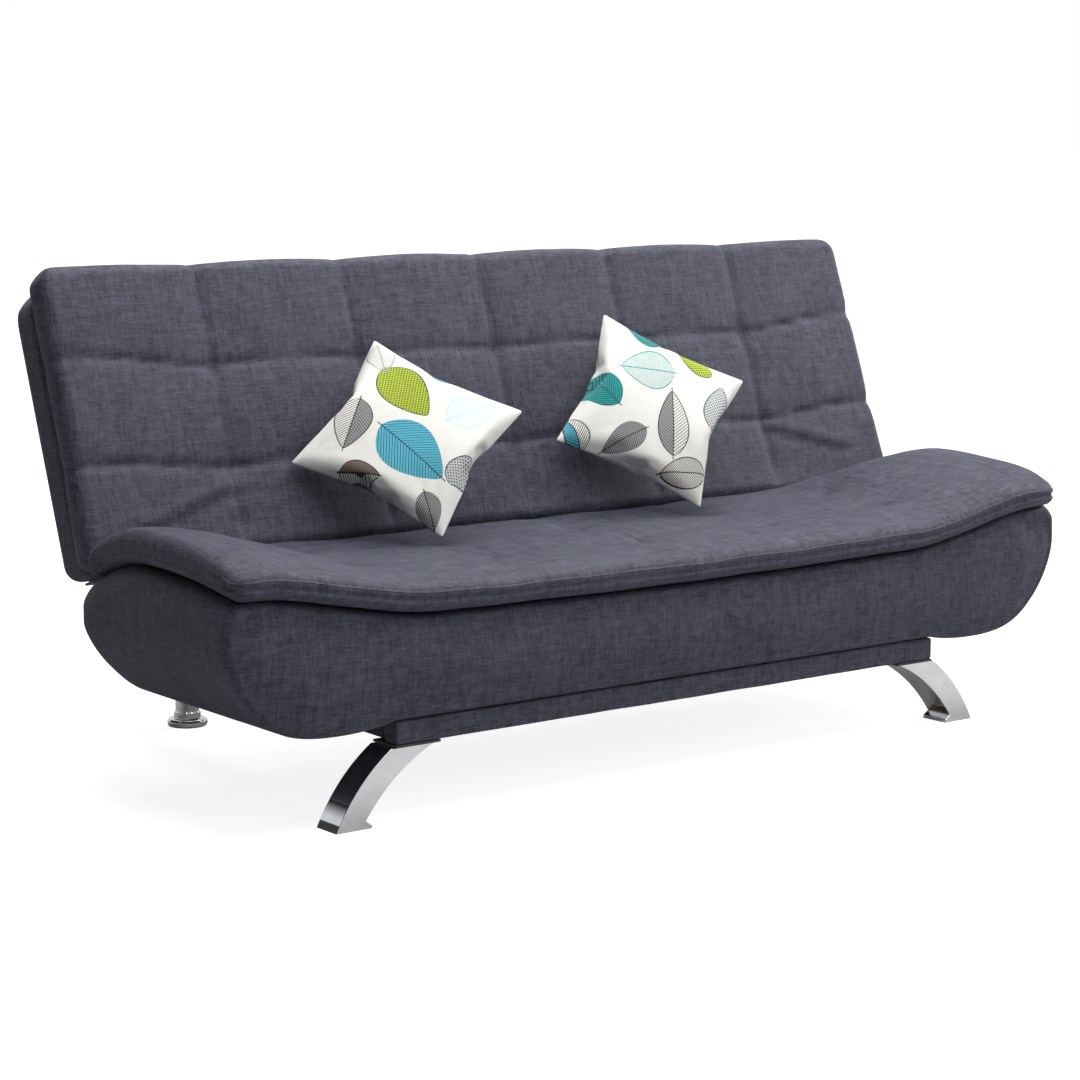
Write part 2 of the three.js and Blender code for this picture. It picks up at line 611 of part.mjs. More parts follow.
// A straight run drawn in several steps, so that it can bend with the saddle.
function stepTo(shape, a, b, steps) {
  const start = shape.currentPoint.clone();
  for (let i = 1; i <= steps; i += 1) {
    shape.lineTo(start.x + ((a - start.x) * i) / steps, start.y + ((b - start.y) * i) / steps);
  }
}

// The pad's section from front to rear: a fat rolled front edge and a slimmer rear one.
function seatPad() {
  const under = PAD_UNDER;
  const top = PAD_TOP;
  const rear = PAD_REAR;
  const curl = 0.4 * PAD_ROLL;
  const section = new THREE.Shape();
  section.moveTo(FRONT_Y + PAD_ROLL, under);
  stepTo(section, rear - PAD_ROLL, under, 8);
  section.bezierCurveTo(rear - curl, under, rear, under + curl, rear, under + PAD_ROLL);
  section.bezierCurveTo(rear, top - 0.55 * PAD_ROLL, rear - 0.4 * PAD_HEEL, top, rear - PAD_HEEL, top);
  stepTo(section, FRONT_Y + PAD_SHOULDER, top, 7);
  section.bezierCurveTo(
    FRONT_Y + 0.45 * PAD_SHOULDER, top, FRONT_Y, top - 0.6 * PAD_ROLL, FRONT_Y, under + PAD_ROLL);
  section.bezierCurveTo(FRONT_Y, under + curl, FRONT_Y + curl, under, FRONT_Y + PAD_ROLL, under);
  const halfWidth = PAD_WIDTH / 2;
  const pad = plateAcrossX(section, -halfWidth, halfWidth, { bevel: 10, steps: 24, curveSegments: 5 });
  moveVertices(pad, (x, y, z) => z + saddle(x) * crown(y));
  piece("seat_pad", geometryOf(solidOf(pad)), greyFabric);
}

// ---- Back, drawn in its own frame: -Y is its front face, +Z runs up it ----
const SHELL_FRONT = -BACK_PAD_FRONT + BACK_PAD_THICK + CLEAR;
const SHELL_X = PAD_WIDTH / 2 - SHELL_SIDE_INSET;
const BACK_RIM = 36;
const BACK_SKIN = 24;

function backPad() {
  const front = -BACK_PAD_FRONT;
  const rear = front + BACK_PAD_THICK;
  const low = BACK_START;
  const high = BACK_START + BACK_HEIGHT;
  const section = new THREE.Shape();
  const turn = high - 0.4 * TOP_TAPER; // the face is already this high when it turns over the top
  section.moveTo(rear, low + FOOT_ROLL);
  section.lineTo(rear, high - TOP_ROLL);
  section.bezierCurveTo(rear, high - 0.35 * TOP_ROLL, rear - 0.4 * TOP_ROLL, high, rear - TOP_ROLL, high);
  section.bezierCurveTo(front + 18, high, front + 6, high - 14, front + 3, turn);
  section.lineTo(front, high - TOP_TAPER);
  section.lineTo(front, low + FOOT_TAPER);
  section.bezierCurveTo(front + 2, low + 0.4 * FOOT_TAPER, front + 20, low, rear - FOOT_ROLL, low);
  section.quadraticCurveTo(rear, low, rear, low + FOOT_ROLL);
  const pad = plateAcrossX(section, -PAD_WIDTH / 2, PAD_WIDTH / 2, { bevel: 10, curveSegments: 6 });
  piece("back_pad", pad, greyFabric, back);
}

function backShell() {
  const rear = SHELL_FRONT + SHELL_THICK;
  const low = SHELL_START;
  const high = SHELL_START + SHELL_HEIGHT;
  const section = roundedRectangle(SHELL_FRONT, rear, low, high, SHELL_ROLL);
  const body = plateAcrossX(section, -SHELL_X, SHELL_X, { bevel: 12, curveSegments: 5 });
  const insideX = SHELL_X - BACK_RIM;
  const front = SHELL_FRONT + BACK_SKIN;
  const recess = block(-insideX, insideX, front, rear + 10, low + BACK_RIM, high - BACK_RIM);
  piece("back_shell", cut(body, recess), greyFabric, back);

  const x = insideX - CLEAR;
  const lowIn = low + BACK_RIM + CLEAR;
  const highIn = high - BACK_RIM - CLEAR;
  const panelThick = 4;
  const panelFront = rear - panelThick - 1;
  const railRear = panelFront - CLEAR;
  const railFront = railRear - FRAME_RAIL;
  piece("back_rear_panel", block(-x, x, panelFront, rear - 1, lowIn, highIn), greyFabric, back);
  piece("back_frame_bottom_rail",
    block(-x, x, railFront, railRear, lowIn, lowIn + BACK_RAIL_HEIGHT), timber, back);
  piece("back_frame_top_rail",
    block(-x, x, railFront, railRear, highIn - BACK_RAIL_HEIGHT, highIn), timber, back);
  const endLow = lowIn + BACK_RAIL_HEIGHT + CLEAR;
  const endHigh = highIn - BACK_RAIL_HEIGHT - CLEAR;
  for (const [word, side] of SIDES) {
    piece(`back_frame_end_rail_${word}`,
      sideBlock(side, x - FRAME_RAIL, x, railFront, railRear, endLow, endHigh), timber, back);
  }
  piece("back_frame_middle_rail",
    block(-FRAME_RAIL / 2, FRAME_RAIL / 2, railFront + 6, railRear, endLow, endHigh), timber, back);
  const wireY = railFront - WIRE_RADIUS - CLEAR;
  const spacing = (2 * x) / (BACK_SPRINGS + 1);
  for (let i = 0; i < BACK_SPRINGS; i += 1) {
    const springX = -x + spacing * (i + 1);
    const from = new THREE.Vector3(springX, wireY, lowIn + 8);
    const to = new THREE.Vector3(springX, wireY, highIn - 8);
    const spring = zigzagSpring(from, to, new THREE.Vector3());
    piece(`back_spring_${i + 1}`, spring, springWire, back);
  }
  const foamRear = wireY - WIRE_RADIUS - CLEAR;
  piece("back_foam", block(-x, x, SHELL_FRONT + BACK_SKIN + CLEAR, foamRear, lowIn, highIn), foam, back);
}

// ---- Scatter cushions ----
// A square bag with pinched corners: thick in the middle and thin at its seam all round.
function cushionSolid() {
  const cells = 8;
  const half = CUSHION_SIDE / 2;
  const geometry = new THREE.BoxGeometry(2, 2, 2, cells, cells, 4);
  const place = geometry.attributes.position;
  for (let i = 0; i < place.count; i += 1) {
    const u = place.getX(i);
    const v = place.getY(i);
    const pullX = 1 - SIDE_PULL * (1 - v ** 2) * u ** 2;
    const pullY = 1 - SIDE_PULL * (1 - u ** 2) * v ** 2;
    const swell = SEAM_SHARE + (1 - SEAM_SHARE) * Math.sqrt((1 - u ** 4) * (1 - v ** 4));
    place.setXYZ(i, half * u * pullX, half * v * pullY, (CUSHION_THICK / 2) * swell * place.getZ(i));
  }
  return geometryOf(solidOf(geometry));
}

// Each cushion stands on its lower corner and leans on the back pad. Its middle is riseShare of
// its side above the seat pad and standShare of it, plus half its thickness, ahead of the back pad.
function cushion(word, x, riseShare, turnDegrees, twistDegrees, leanDegrees, standShare) {
  const mesh = piece(`cushion_${word}`, cushionSolid(), printedLinen, back);
  const seatHeight = (PAD_TOP - PIVOT_Z) / Math.cos(THREE.MathUtils.degToRad(RAKE));
  const forward = standShare * CUSHION_SIDE + CUSHION_THICK / 2;
  mesh.position.set(x, -BACK_PAD_FRONT - forward, seatHeight + riseShare * CUSHION_SIDE);
  mesh.rotation.order = "ZXY";
  mesh.rotation.set(
    Math.PI / 2 - THREE.MathUtils.degToRad(leanDegrees),
    0,
    THREE.MathUtils.degToRad(twistDegrees),
  );
  mesh.rotateZ(THREE.MathUtils.degToRad(turnDegrees));
}

// ---- Assembly ----
const { rearLegY, sideInner, sideOuter, frontY } = baseFrame();
for (const [word, side] of SIDES) {
  frontLeg(word, side, frontY);
  rearLeg(word, side, rearLegY);
  basePivot(word, side, sideInner, sideOuter);
  hingeSeatArm(word, side);
  hingeBackArm(word, side);
  headedPin(`hinge_pin_${word}`, side, BACK_ARM_INNER, SEAT_ARM_INNER + PLATE);
  pawl(word, side);
  pawlSpring(word, side);
}
seatShell();
seatFrame();
seatPad();
backShell();
backPad();
cushion("left", -321, 0.398, 48, -25.5, 21.5, 0.2295);
cushion("right", 262, 0.4536, 54.5, -14, 11, 0.1574);

export default parts;
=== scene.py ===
# %% [markdown]
# # A click-clack sofa bed
# The sofa bed is a padded seat and a padded back hinged together on a low base with chrome legs.
# The hard parts come ready-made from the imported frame, so this lesson makes what a maker would sew,
# stuff, plane or polish. Lengths are in metres, X runs along the sofa and -Y faces the room.

# %% Load the frame
import json
import math
import bpy
import numpy as np
from mathutils import Matrix, Vector, noise

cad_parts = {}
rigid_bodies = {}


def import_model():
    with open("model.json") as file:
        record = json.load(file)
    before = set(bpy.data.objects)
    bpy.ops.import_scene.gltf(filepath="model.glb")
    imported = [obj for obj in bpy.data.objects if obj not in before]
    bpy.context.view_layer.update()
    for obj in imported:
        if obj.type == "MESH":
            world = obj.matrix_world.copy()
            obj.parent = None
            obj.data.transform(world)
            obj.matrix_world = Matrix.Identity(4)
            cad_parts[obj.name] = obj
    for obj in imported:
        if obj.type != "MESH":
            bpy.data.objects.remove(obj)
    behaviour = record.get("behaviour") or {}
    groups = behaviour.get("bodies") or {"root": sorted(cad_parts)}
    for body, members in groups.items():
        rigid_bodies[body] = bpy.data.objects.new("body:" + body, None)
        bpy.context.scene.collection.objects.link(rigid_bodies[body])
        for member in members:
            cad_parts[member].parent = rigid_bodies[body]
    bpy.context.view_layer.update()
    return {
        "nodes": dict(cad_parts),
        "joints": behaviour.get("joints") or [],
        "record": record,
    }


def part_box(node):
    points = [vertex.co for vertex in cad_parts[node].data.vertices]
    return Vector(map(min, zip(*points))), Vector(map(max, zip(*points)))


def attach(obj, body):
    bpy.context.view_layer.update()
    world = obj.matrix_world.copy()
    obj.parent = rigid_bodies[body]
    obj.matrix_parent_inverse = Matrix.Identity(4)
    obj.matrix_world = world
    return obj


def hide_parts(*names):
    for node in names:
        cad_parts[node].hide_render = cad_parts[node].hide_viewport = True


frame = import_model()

joints = {joint["name"]: joint for joint in frame["joints"]}
HINGE = np.array(joints["back_recline"]["pos_m"])
LEAN = math.asin(joints["cushion_left_lift_off"]["axis"][2])
print("hinge at", HINGE, "lean", round(math.degrees(LEAN), 1))

# %% [markdown]
# ## Camera
# A long lens from the front left, a little above the seat, keeps the sofa's lines nearly parallel.
# The camera is made first, so that everything after it can be checked against the view.

# %% Camera
camera = bpy.data.objects.new("camera", bpy.data.cameras.new("camera"))
bpy.context.scene.collection.objects.link(camera)
camera.location = (-3.1222, -4.1327, 1.1543)
camera.rotation_euler = (math.radians(90 - 8.84), 0, math.radians(-37.2))
camera.data.lens = 93.07
camera.data.sensor_width = 36
camera.data.shift_y = 0.0067
bpy.context.scene.camera = camera

# %% [markdown]
# ## Meshes for stuffed work
# Pads and upholstered boxes share one topology: a box whose faces are grids, with its edges rolled
# over. The grid lines crowd together near the edges, where the cloth turns. A smooth rule then moves
# the points, which keeps every seam where the maker wants it.

# %% Grid boxes with rolled edges
def spaced(low, high, step, radius, ring=4):
    """Grid lines from low to high that crowd into the rolled edges."""
    roll = [radius * (1 - math.tan(math.radians(45 * k / ring))) for k in range(ring, 0, -1)]
    count = max(1, round((high - low - 2 * radius) / step))
    middle = list(np.linspace(low + radius, high - radius, count + 1))
    return np.array([low + r for r in roll] + middle + [high - r for r in reversed(roll)])


def grid_box(xs, ys, zs):
    """Points and outward quads of a closed box with grid lines at xs, ys and zs."""
    index, points, quads = {}, [], []
    last = (len(xs) - 1, len(ys) - 1, len(zs) - 1)

    def corner(i, j, k):
        key = (i, j, k)
        if key not in index:
            index[key] = len(points)
            points.append((xs[i], ys[j], zs[k]))
        return index[key]

    for axis in range(3):
        a, b = [n for n in range(3) if n != axis]
        for end in (0, last[axis]):
            for p in range(last[a]):
                for q in range(last[b]):
                    loop = []
                    for dp, dq in ((0, 0), (1, 0), (1, 1), (0, 1)):
                        key = [0, 0, 0]
                        key[axis], key[a], key[b] = end, p + dp, q + dq
                        loop.append(corner(*key))
                    forward = (end != 0) != (axis == 1)
                    quads.append(loop if forward else loop[::-1])
    return np.array(points, float), quads


def roll_edges(points, low, high, radius):
    """Moves the points of a box onto the same box with round edges."""
    low, high = np.array(low, float), np.array(high, float)
    core = np.clip(points, low + radius, high - radius)
    out = points - core
    size = np.linalg.norm(out, axis=1)
    size[size < 1e-9] = 1
    return core + out / size[:, None] * radius


def rolled_box(low, high, steps, radius, ring=5):
    """A grid box with rolled edges, whose grid has these steps along each axis."""
    lines = [spaced(a, b, step, radius, ring) for a, b, step in zip(low, high, steps)]
    points, quads = grid_box(*lines)
    return roll_edges(points, low, high, radius), quads


def make_mesh(name, points, faces, smooth=True):
    mesh = bpy.data.meshes.new(name)
    mesh.from_pydata([tuple(p) for p in points], [], faces)
    mesh.update()
    if smooth:
        mesh.polygons.foreach_set("use_smooth", [True] * len(mesh.polygons))
    piece = bpy.data.objects.new(name, mesh)
    bpy.context.scene.collection.objects.link(piece)
    return piece


def soften_edges(piece, width, segments, degrees):
    """A small bevel on every edge sharper than this many degrees."""
    modifier = piece.modifiers.new("edge", "BEVEL")
    modifier.width = width
    modifier.segments = segments
    modifier.limit_method = "ANGLE"
    modifier.angle_limit = math.radians(degrees)
    modifier.harden_normals = True


def subdivide(piece, levels=1):
    modifier = piece.modifiers.new("finer", "SUBSURF")
    modifier.levels = levels
    modifier.render_levels = levels
    return piece


def smoothstep(t):
    t = np.clip(t, 0, 1)
    return t * t * (3 - 2 * t)


def bump(distance, width):
    return np.exp(-((distance / width) ** 2))


def from_line(across, height, start, end):
    """How far points lie from a short straight line, across and in height."""
    along = np.subtract(end, start)
    reach = ((across - start[0]) * along[0] + (height - start[1]) * along[1]) / (along @ along)
    reach = np.clip(reach, 0, 1)
    return across - start[0] - reach * along[0], height - start[1] - reach * along[1]


def ripple(points, scale, seed):
    """A gentle unevenness, the same each time."""
    shift = Vector((seed * 7.3, seed * 3.1, seed * 5.7))
    return np.array([noise.noise(Vector(p) * scale + shift) for p in points])


# %% [markdown]
# ## Shader groups shared by the cloths
# Woven cloth is two sets of threads, and linen-look yarn has slubs: thick, paler stretches. Noise
# that is stretched a lot along one direction draws them. The cloth has no UV map, so the threads are
# laid along whichever two axes a face spans.

# %% A helper for node groups
def new_group(name, inputs, outputs):
    group = bpy.data.node_groups.new(name, "ShaderNodeTree")
    for label, kind, value in inputs:
        socket = group.interface.new_socket(label, in_out="INPUT", socket_type=kind)
        if value is not None:
            socket.default_value = value
    for label, kind in outputs:
        group.interface.new_socket(label, in_out="OUTPUT", socket_type=kind)
    start = group.nodes.new("NodeGroupInput")
    end = group.nodes.new("NodeGroupOutput")
    return group, start, end


class Wiring:
    """Short ways to add and join nodes in one tree."""

    def __init__(self, tree):
        self.tree = tree

    def node(self, kind, **settings):
        made = self.tree.nodes.new(kind)
        for key, value in settings.items():
            setattr(made, key, value)
        return made

    def put(self, socket, value):
        if hasattr(value, "links"):
            self.tree.links.new(value, socket)
        else:
            socket.default_value = value

    def math(self, operation, a, b=0.0, clamp=False):
        made = self.node("ShaderNodeMath", operation=operation, use_clamp=clamp)
        self.put(made.inputs[0], a)
        self.put(made.inputs[1], b)
        return made.outputs[0]

    def mix(self, factor, a, b, blend="MIX"):
        made = self.node("ShaderNodeMix", data_type="RGBA", blend_type=blend)
        self.put(made.inputs[0], factor)
        self.put(made.inputs[6], a)
        self.put(made.inputs[7], b)
        return made.outputs[2]

    def ramp(self, value, low, high):
        made = self.node("ShaderNodeMapRange")
        self.put(made.inputs[0], value)
        made.inputs[1].default_value = low
        made.inputs[2].default_value = high
        return made.outputs[0]

    def noise(self, vector, scale, detail=2.0, rough=0.5):
        made = self.node("ShaderNodeTexNoise")
        self.put(made.inputs["Vector"], vector)
        made.inputs["Scale"].default_value = scale
        made.inputs["Detail"].default_value = detail
        made.inputs["Roughness"].default_value = rough
        return made.outputs["Fac"]

    def combine(self, x, y, z=0.0):
        made = self.node("ShaderNodeCombineXYZ")
        for socket, value in zip(made.inputs, (x, y, z)):
            self.put(socket, value)
        return made.outputs[0]

    def split(self, vector):
        made = self.node("ShaderNodeSeparateXYZ")
        self.put(made.inputs[0], vector)
        return made.outputs


# %% The group that lays cloth on a face
def cloth_plane_group():
    group, start, end = new_group(
        "cloth_plane",
        [("Point", "NodeSocketVector", None), ("Normal", "NodeSocketVector", None)],
        [("Plane", "NodeSocketVector")],
    )
    w = Wiring(group)
    x, y, z = w.split(start.outputs["Point"])
    nx, _, nz = w.split(start.outputs["Normal"])
    faces_side = w.math("GREATER_THAN", w.math("ABSOLUTE", nx), 0.72)
    faces_up = w.math("GREATER_THAN", w.math("ABSOLUTE", nz), 0.72)
    other_sides = w.math("MULTIPLY", w.math("SUBTRACT", 1.0, faces_side), x)
    across = w.math("ADD", w.math("MULTIPLY", faces_side, y), other_sides)
    weft = w.math("MULTIPLY", y, 0.5)
    upright = w.math("MULTIPLY", w.math("SUBTRACT", 1.0, faces_up), z)
    along = w.math("ADD", w.math("MULTIPLY", faces_up, weft), upright)
    group.links.new(w.combine(across, along), end.inputs["Plane"])
    return group


# %% The group that draws slubby threads
def slub_weave_group():
    group, start, end = new_group(
        "slub_weave",
        [
            ("Plane", "NodeSocketVector", None),
            ("Thread", "NodeSocketFloat", 0.0012),
            ("Slub", "NodeSocketFloat", 0.5),
        ],
        [("Fleck", "NodeSocketFloat"), ("Shade", "NodeSocketFloat"), ("Height", "NodeSocketFloat")],
    )
    w = Wiring(group)
    u, v, _ = w.split(start.outputs["Plane"])
    fine = w.math("DIVIDE", 1.0, start.outputs["Thread"])

    def yarns(along_scale, across_scale, seeds, detail, rough):
        """Noise drawn out along the warp, and the same along the weft."""
        made = []
        for along, across, seed in ((u, v, seeds[0]), (v, u, seeds[1])):
            stretched = w.math("MULTIPLY", along, along_scale), w.math("MULTIPLY", across, across_scale)
            made.append(w.noise(w.combine(*stretched, seed), 1.0, detail, rough))
        return made

    threads = yarns(40.0, 300.0, (3.0, 11.0), 3.0, 0.6)
    slubs = [w.ramp(thick, 0.60, 0.80) for thick in yarns(36.0, 260.0, (23.0, 31.0), 1.0, 0.4)]
    weave = []
    for line in (u, v):
        wave = w.math("SINE", w.math("MULTIPLY", w.math("MULTIPLY", line, fine), math.pi))
        weave.append(w.math("ABSOLUTE", wave))
    cloudy = w.noise(start.outputs["Plane"], 7.0, 3.0, 0.55)
    fleck = w.math("MAXIMUM", slubs[0], slubs[1])
    fleck = w.math("MULTIPLY", fleck, start.outputs["Slub"])
    both = w.math("MULTIPLY", w.math("ADD", threads[0], threads[1]), 0.5)
    streaks = yarns(14.0, 80.0, (43.0, 53.0), 2.0, 0.5)
    streak = w.math("MULTIPLY", w.math("ADD", streaks[0], streaks[1]), 0.5)
    shade = w.math("ADD", w.math("MULTIPLY", both, 0.62), w.math("MULTIPLY", streak, 0.30))
    shade = w.math("ADD", shade, w.math("MULTIPLY", cloudy, 0.08))
    knots = w.math("MULTIPLY", w.math("MULTIPLY", weave[0], weave[1]), 0.35)
    height = w.math("ADD", w.math("ADD", both, knots), w.math("MULTIPLY", fleck, 0.5))
    group.links.new(fleck, end.inputs["Fleck"])
    group.links.new(shade, end.inputs["Shade"])
    group.links.new(height, end.inputs["Height"])
    return group


cloth_plane = cloth_plane_group()
slub_weave = slub_weave_group()
print("shared groups:", cloth_plane.name, slub_weave.name)


# %% [markdown]
# ## Finishes
# Each finish is a Principled shader fed by the groups or by its own small pattern. Cloth is rough
# with a soft sheen, chrome is a clean mirror with faint handling marks, timber is planed softwood.

# %% A helper for materials
def new_material(name, **settings):
    material = bpy.data.materials.new(name)
    material.use_nodes = True
    w = Wiring(material.node_tree)
    shader = material.node_tree.nodes["Principled BSDF"]
    for label, value in settings.items():
        shader.inputs[label].default_value = value
    return material, w, shader


def add_bump(w, shader, height, distance, strength):
    made = w.node("ShaderNodeBump")
    made.inputs["Strength"].default_value = strength
    made.inputs["Distance"].default_value = distance
    w.put(made.inputs["Height"], height)
    w.put(shader.inputs["Normal"], made.outputs[0])


def cloth_material(name, dark, light, fleck_colour, thread=0.0013, slub=0.4, sheen=0.07, relief=0.0011):
    """Woven cloth: dark and light are its yarn colours, fleck_colour the slubs'."""
    material, w, shader = new_material(name, **{
        "Roughness": 0.92, "Sheen Weight": sheen, "Sheen Roughness": 0.45,
        "Sheen Tint": (0.80, 0.82, 0.95, 1), "Specular IOR Level": 0.2,
    })
    where = w.node("ShaderNodeTexCoord")
    plane = w.node("ShaderNodeGroup", node_tree=cloth_plane)
    w.put(plane.inputs["Point"], where.outputs["Object"])
    w.put(plane.inputs["Normal"], where.outputs["Normal"])
    weave = w.node("ShaderNodeGroup", node_tree=slub_weave)
    w.put(weave.inputs["Plane"], plane.outputs["Plane"])
    weave.inputs["Thread"].default_value = thread
    weave.inputs["Slub"].default_value = slub
    shade = w.ramp(weave.outputs["Shade"], 0.40, 0.60)
    yarn = w.mix(shade, dark, light)
    w.put(shader.inputs["Base Color"], w.mix(weave.outputs["Fleck"], yarn, fleck_colour))
    w.put(shader.inputs["Roughness"], w.ramp(weave.outputs["Shade"], -2.0, 2.4))
    add_bump(w, shader, weave.outputs["Height"], relief, 0.55)
    return material


# %% The sofa's cloths and foam
DEEP_GREY = (0.0105, 0.0105, 0.0185, 1)
THREAD_GREY = (0.072, 0.073, 0.105, 1)
FLECK_GREY = (0.112, 0.113, 0.150, 1)
grey_cloth = cloth_material("grey_cloth", DEEP_GREY, THREAD_GREY, FLECK_GREY)
body_cloth = cloth_material("body_cloth", DEEP_GREY, THREAD_GREY, FLECK_GREY)
lining_colours = (0.012, 0.012, 0.013, 1), (0.03, 0.03, 0.032, 1), (0.05, 0.05, 0.05, 1)
lining_cloth = cloth_material("lining_cloth", *lining_colours, slub=0.2)


def foam_material():
    material, w, shader = new_material("open_cell_foam", **{"Roughness": 0.95})
    where = w.node("ShaderNodeTexCoord").outputs["Object"]
    cells = w.node("ShaderNodeTexVoronoi")
    w.put(cells.inputs["Vector"], where)
    cells.inputs["Scale"].default_value = 420
    patches = w.noise(where, 9.0, 3.0)
    w.put(shader.inputs["Base Color"], w.mix(patches, (0.70, 0.62, 0.34, 1), (0.86, 0.80, 0.52, 1)))
    add_bump(w, shader, cells.outputs["Distance"], 0.001, 0.5)
    return material


foam_finish = foam_material()


# %% Timber
def timber_material():
    material, w, shader = new_material("planed_timber", **{"Roughness": 0.62})
    where = w.node("ShaderNodeTexCoord").outputs["Object"]
    x, y, z = w.split(where)
    rings = w.node("ShaderNodeTexNoise")
    place = [w.math("MULTIPLY", line, scale) for line, scale in ((x, 1.6), (y, 22.0), (z, 22.0))]
    w.put(rings.inputs["Vector"], w.combine(*place))
    rings.inputs["Scale"].default_value = 1.0
    rings.inputs["Detail"].default_value = 4.0
    rings.inputs["Distortion"].default_value = 1.2
    bands = w.math("FRACT", w.math("MULTIPLY", rings.outputs["Fac"], 9.0))
    w.put(shader.inputs["Base Color"], w.mix(bands, (0.36, 0.22, 0.10, 1), (0.62, 0.44, 0.24, 1)))
    w.put(shader.inputs["Roughness"], w.ramp(bands, -1.4, 2.2))
    add_bump(w, shader, bands, 0.0004, 0.3)
    return material


timber_finish = timber_material()


# %% Metals
def metal_material(name, colour, roughness, marks, metallic=1.0, coat=0.0):
    """A metal with faint uneven polish: marks is how far its roughness wanders."""
    material, w, shader = new_material(name, **{"Metallic": metallic, "Coat Weight": coat})
    where = w.node("ShaderNodeTexCoord").outputs["Object"]
    handled = w.noise(where, 30.0, 4.0, 0.6)
    w.put(shader.inputs["Roughness"], w.math("ADD", roughness, w.math("MULTIPLY", handled, marks)))
    dulled = tuple(0.88 * c for c in colour[:3]) + (1,)
    w.put(shader.inputs["Base Color"], w.mix(w.ramp(handled, 0.35, 0.75), colour, dulled))
    grain = w.noise(where, 900.0, 2.0)
    add_bump(w, shader, grain, 0.0001, 0.12 if metallic > 0.5 else 0.4)
    return material


chrome_finish = metal_material("polished_chrome", (0.68, 0.69, 0.70, 1), 0.035, 0.05)
steel_finish = metal_material("black_steel", (0.045, 0.047, 0.05, 1), 0.38, 0.2, metallic=0.4)
wire_finish = metal_material("spring_wire", (0.38, 0.39, 0.40, 1), 0.25, 0.2)
toe_finish = metal_material("black_toe_plastic", (0.012, 0.012, 0.013, 1), 0.3, 0.2, metallic=0.0)


# %% [markdown]
# ## The saddle of the seat
# The seat rises towards both ends, and the ends are highest a little behind their middle. The pad
# and the body beneath it share that shape, so it is written once.

# %% Seat sizes and saddle
pad_low, pad_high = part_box("seat_pad")
body_low, body_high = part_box("seat_shell")
PAD_HALF = pad_high.x
BODY_HALF = body_high.x
BODY_FRONT, BODY_REAR = body_low.y, body_high.y
DECK = 0.338
PAD_THICK = 0.062


def saddle(x):
    rise = smoothstep((np.abs(x) - (PAD_HALF - 0.40)) / 0.374)
    return 0.020 * (x / PAD_HALF) ** 2 + 0.050 * rise


def crown(y):
    crest = BODY_FRONT + 0.6 * (BODY_REAR - BODY_FRONT)
    ahead = np.clip((crest - y) / (crest - BODY_FRONT), 0, 1)
    behind = np.clip((y - crest) / (BODY_REAR - crest), 0, 1)
    return 1.2 - 0.3 * ahead**2 - 0.85 * behind**2


# %% [markdown]
# ## Seat pad
# The pillow-top pad is a quilted slab with a fat rolled edge. It could be a cloth simulation of a
# whole mattress, but its look is in where the tufts pull it down, so the grid is shaped directly:
# a shallow dip at each tuft, a groove along the roll, and slack ripples between.

# %% Shape the seat pad
COLUMN = 0.311
EDGE_ROLL = 0.024
# Each row of tufts: how far behind the front edge, and how deep.
TUFT_ROWS = ((0.175, 0.0075), (0.345, 0.0085))
# Each crease of the roll: share of its height, width, and strength.
CREASES = ((0.36, 0.06, 1.0), (0.60, 0.05, 0.6), (0.76, 0.05, 0.35))
FRONT_CREASE = 0.0056
END_CREASE = 0.0030
REAR_TOUCH = 0.008


def seat_pad_points():
    under, top = DECK + 0.005, DECK + 0.004 + PAD_THICK
    low = (-PAD_HALF, pad_low.y, under)
    high = (PAD_HALF, pad_high.y + REAR_TOUCH, top)
    points, quads = rolled_box(low, high, (0.0095, 0.0095, 0.007), EDGE_ROLL)
    x, y, z = points.T
    height = (z - under) / (top - under)
    upper = smoothstep((height - 0.45) / 0.4)
    front = y - low[1]
    rear = high[1] - y
    end = PAD_HALF - np.abs(x)
    # The roll at the front and the ends is slimmer than the pad behind it.
    z = z - upper * 0.013 * (bump(front, 0.055) + 0.3 * bump(end, 0.05))
    # Tufts: one shallow dip per column in two rows, joined by a faint valley.
    nearest = np.round(x / COLUMN) * COLUMN
    for behind, pull in TUFT_ROWS:
        row = low[1] + behind
        away = np.hypot(x - nearest, (y - row) * 1.15)
        inside = smoothstep((PAD_HALF - 0.12 - np.abs(nearest)) / 0.1)
        z = z - upper * inside * (pull * bump(away, 0.055) + 0.004 * bump(away, 0.016))
        z = z - upper * 0.0028 * bump(y - row, 0.028) * smoothstep((end - 0.1) / 0.1)
    inboard = smoothstep((front - 0.04) / 0.06) * smoothstep(end / 0.3)
    z = z - upper * 0.0022 * bump(x - nearest, 0.03) * inboard
    # The sewn seam half-way up the roll.
    side = 1 - smoothstep((np.minimum(np.minimum(front, end), rear) - 0.004) / 0.012)
    groove = side * sum(strength * bump(height - at, width) for at, width, strength in CREASES)
    y = y + FRONT_CREASE * groove * (front < 0.03)
    x = x - END_CREASE * groove * np.sign(x) * (end < 0.03)
    # The unsupported corners droop and round off in plan.
    corner = bump(front, 0.09) * bump(end, 0.07)
    z = z - 0.004 * corner
    x = x - np.sign(x) * 0.005 * bump(front, 0.035) * bump(end, 0.04)
    y = y + 0.005 * bump(end, 0.035) * bump(front, 0.04)
    z = z + saddle(x) * crown(y)
    points = np.stack([x, y, z], 1)
    slack = ripple(points, 9.0, 1) * 0.0026 + ripple(points * (1, 0.35, 1), 26.0, 2) * 0.0011
    points[:, 2] += slack * (0.35 + 0.65 * upper)
    points[:, 1] += 0.6 * slack * bump(front, 0.03)
    return points, quads


points, quads = seat_pad_points()
seat_pad = subdivide(make_mesh("seat_pad_quilt", points, quads))
seat_pad.data.materials.append(grey_cloth)
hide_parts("seat_pad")
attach(seat_pad, "seat")
print("seat pad:", len(points), "points")

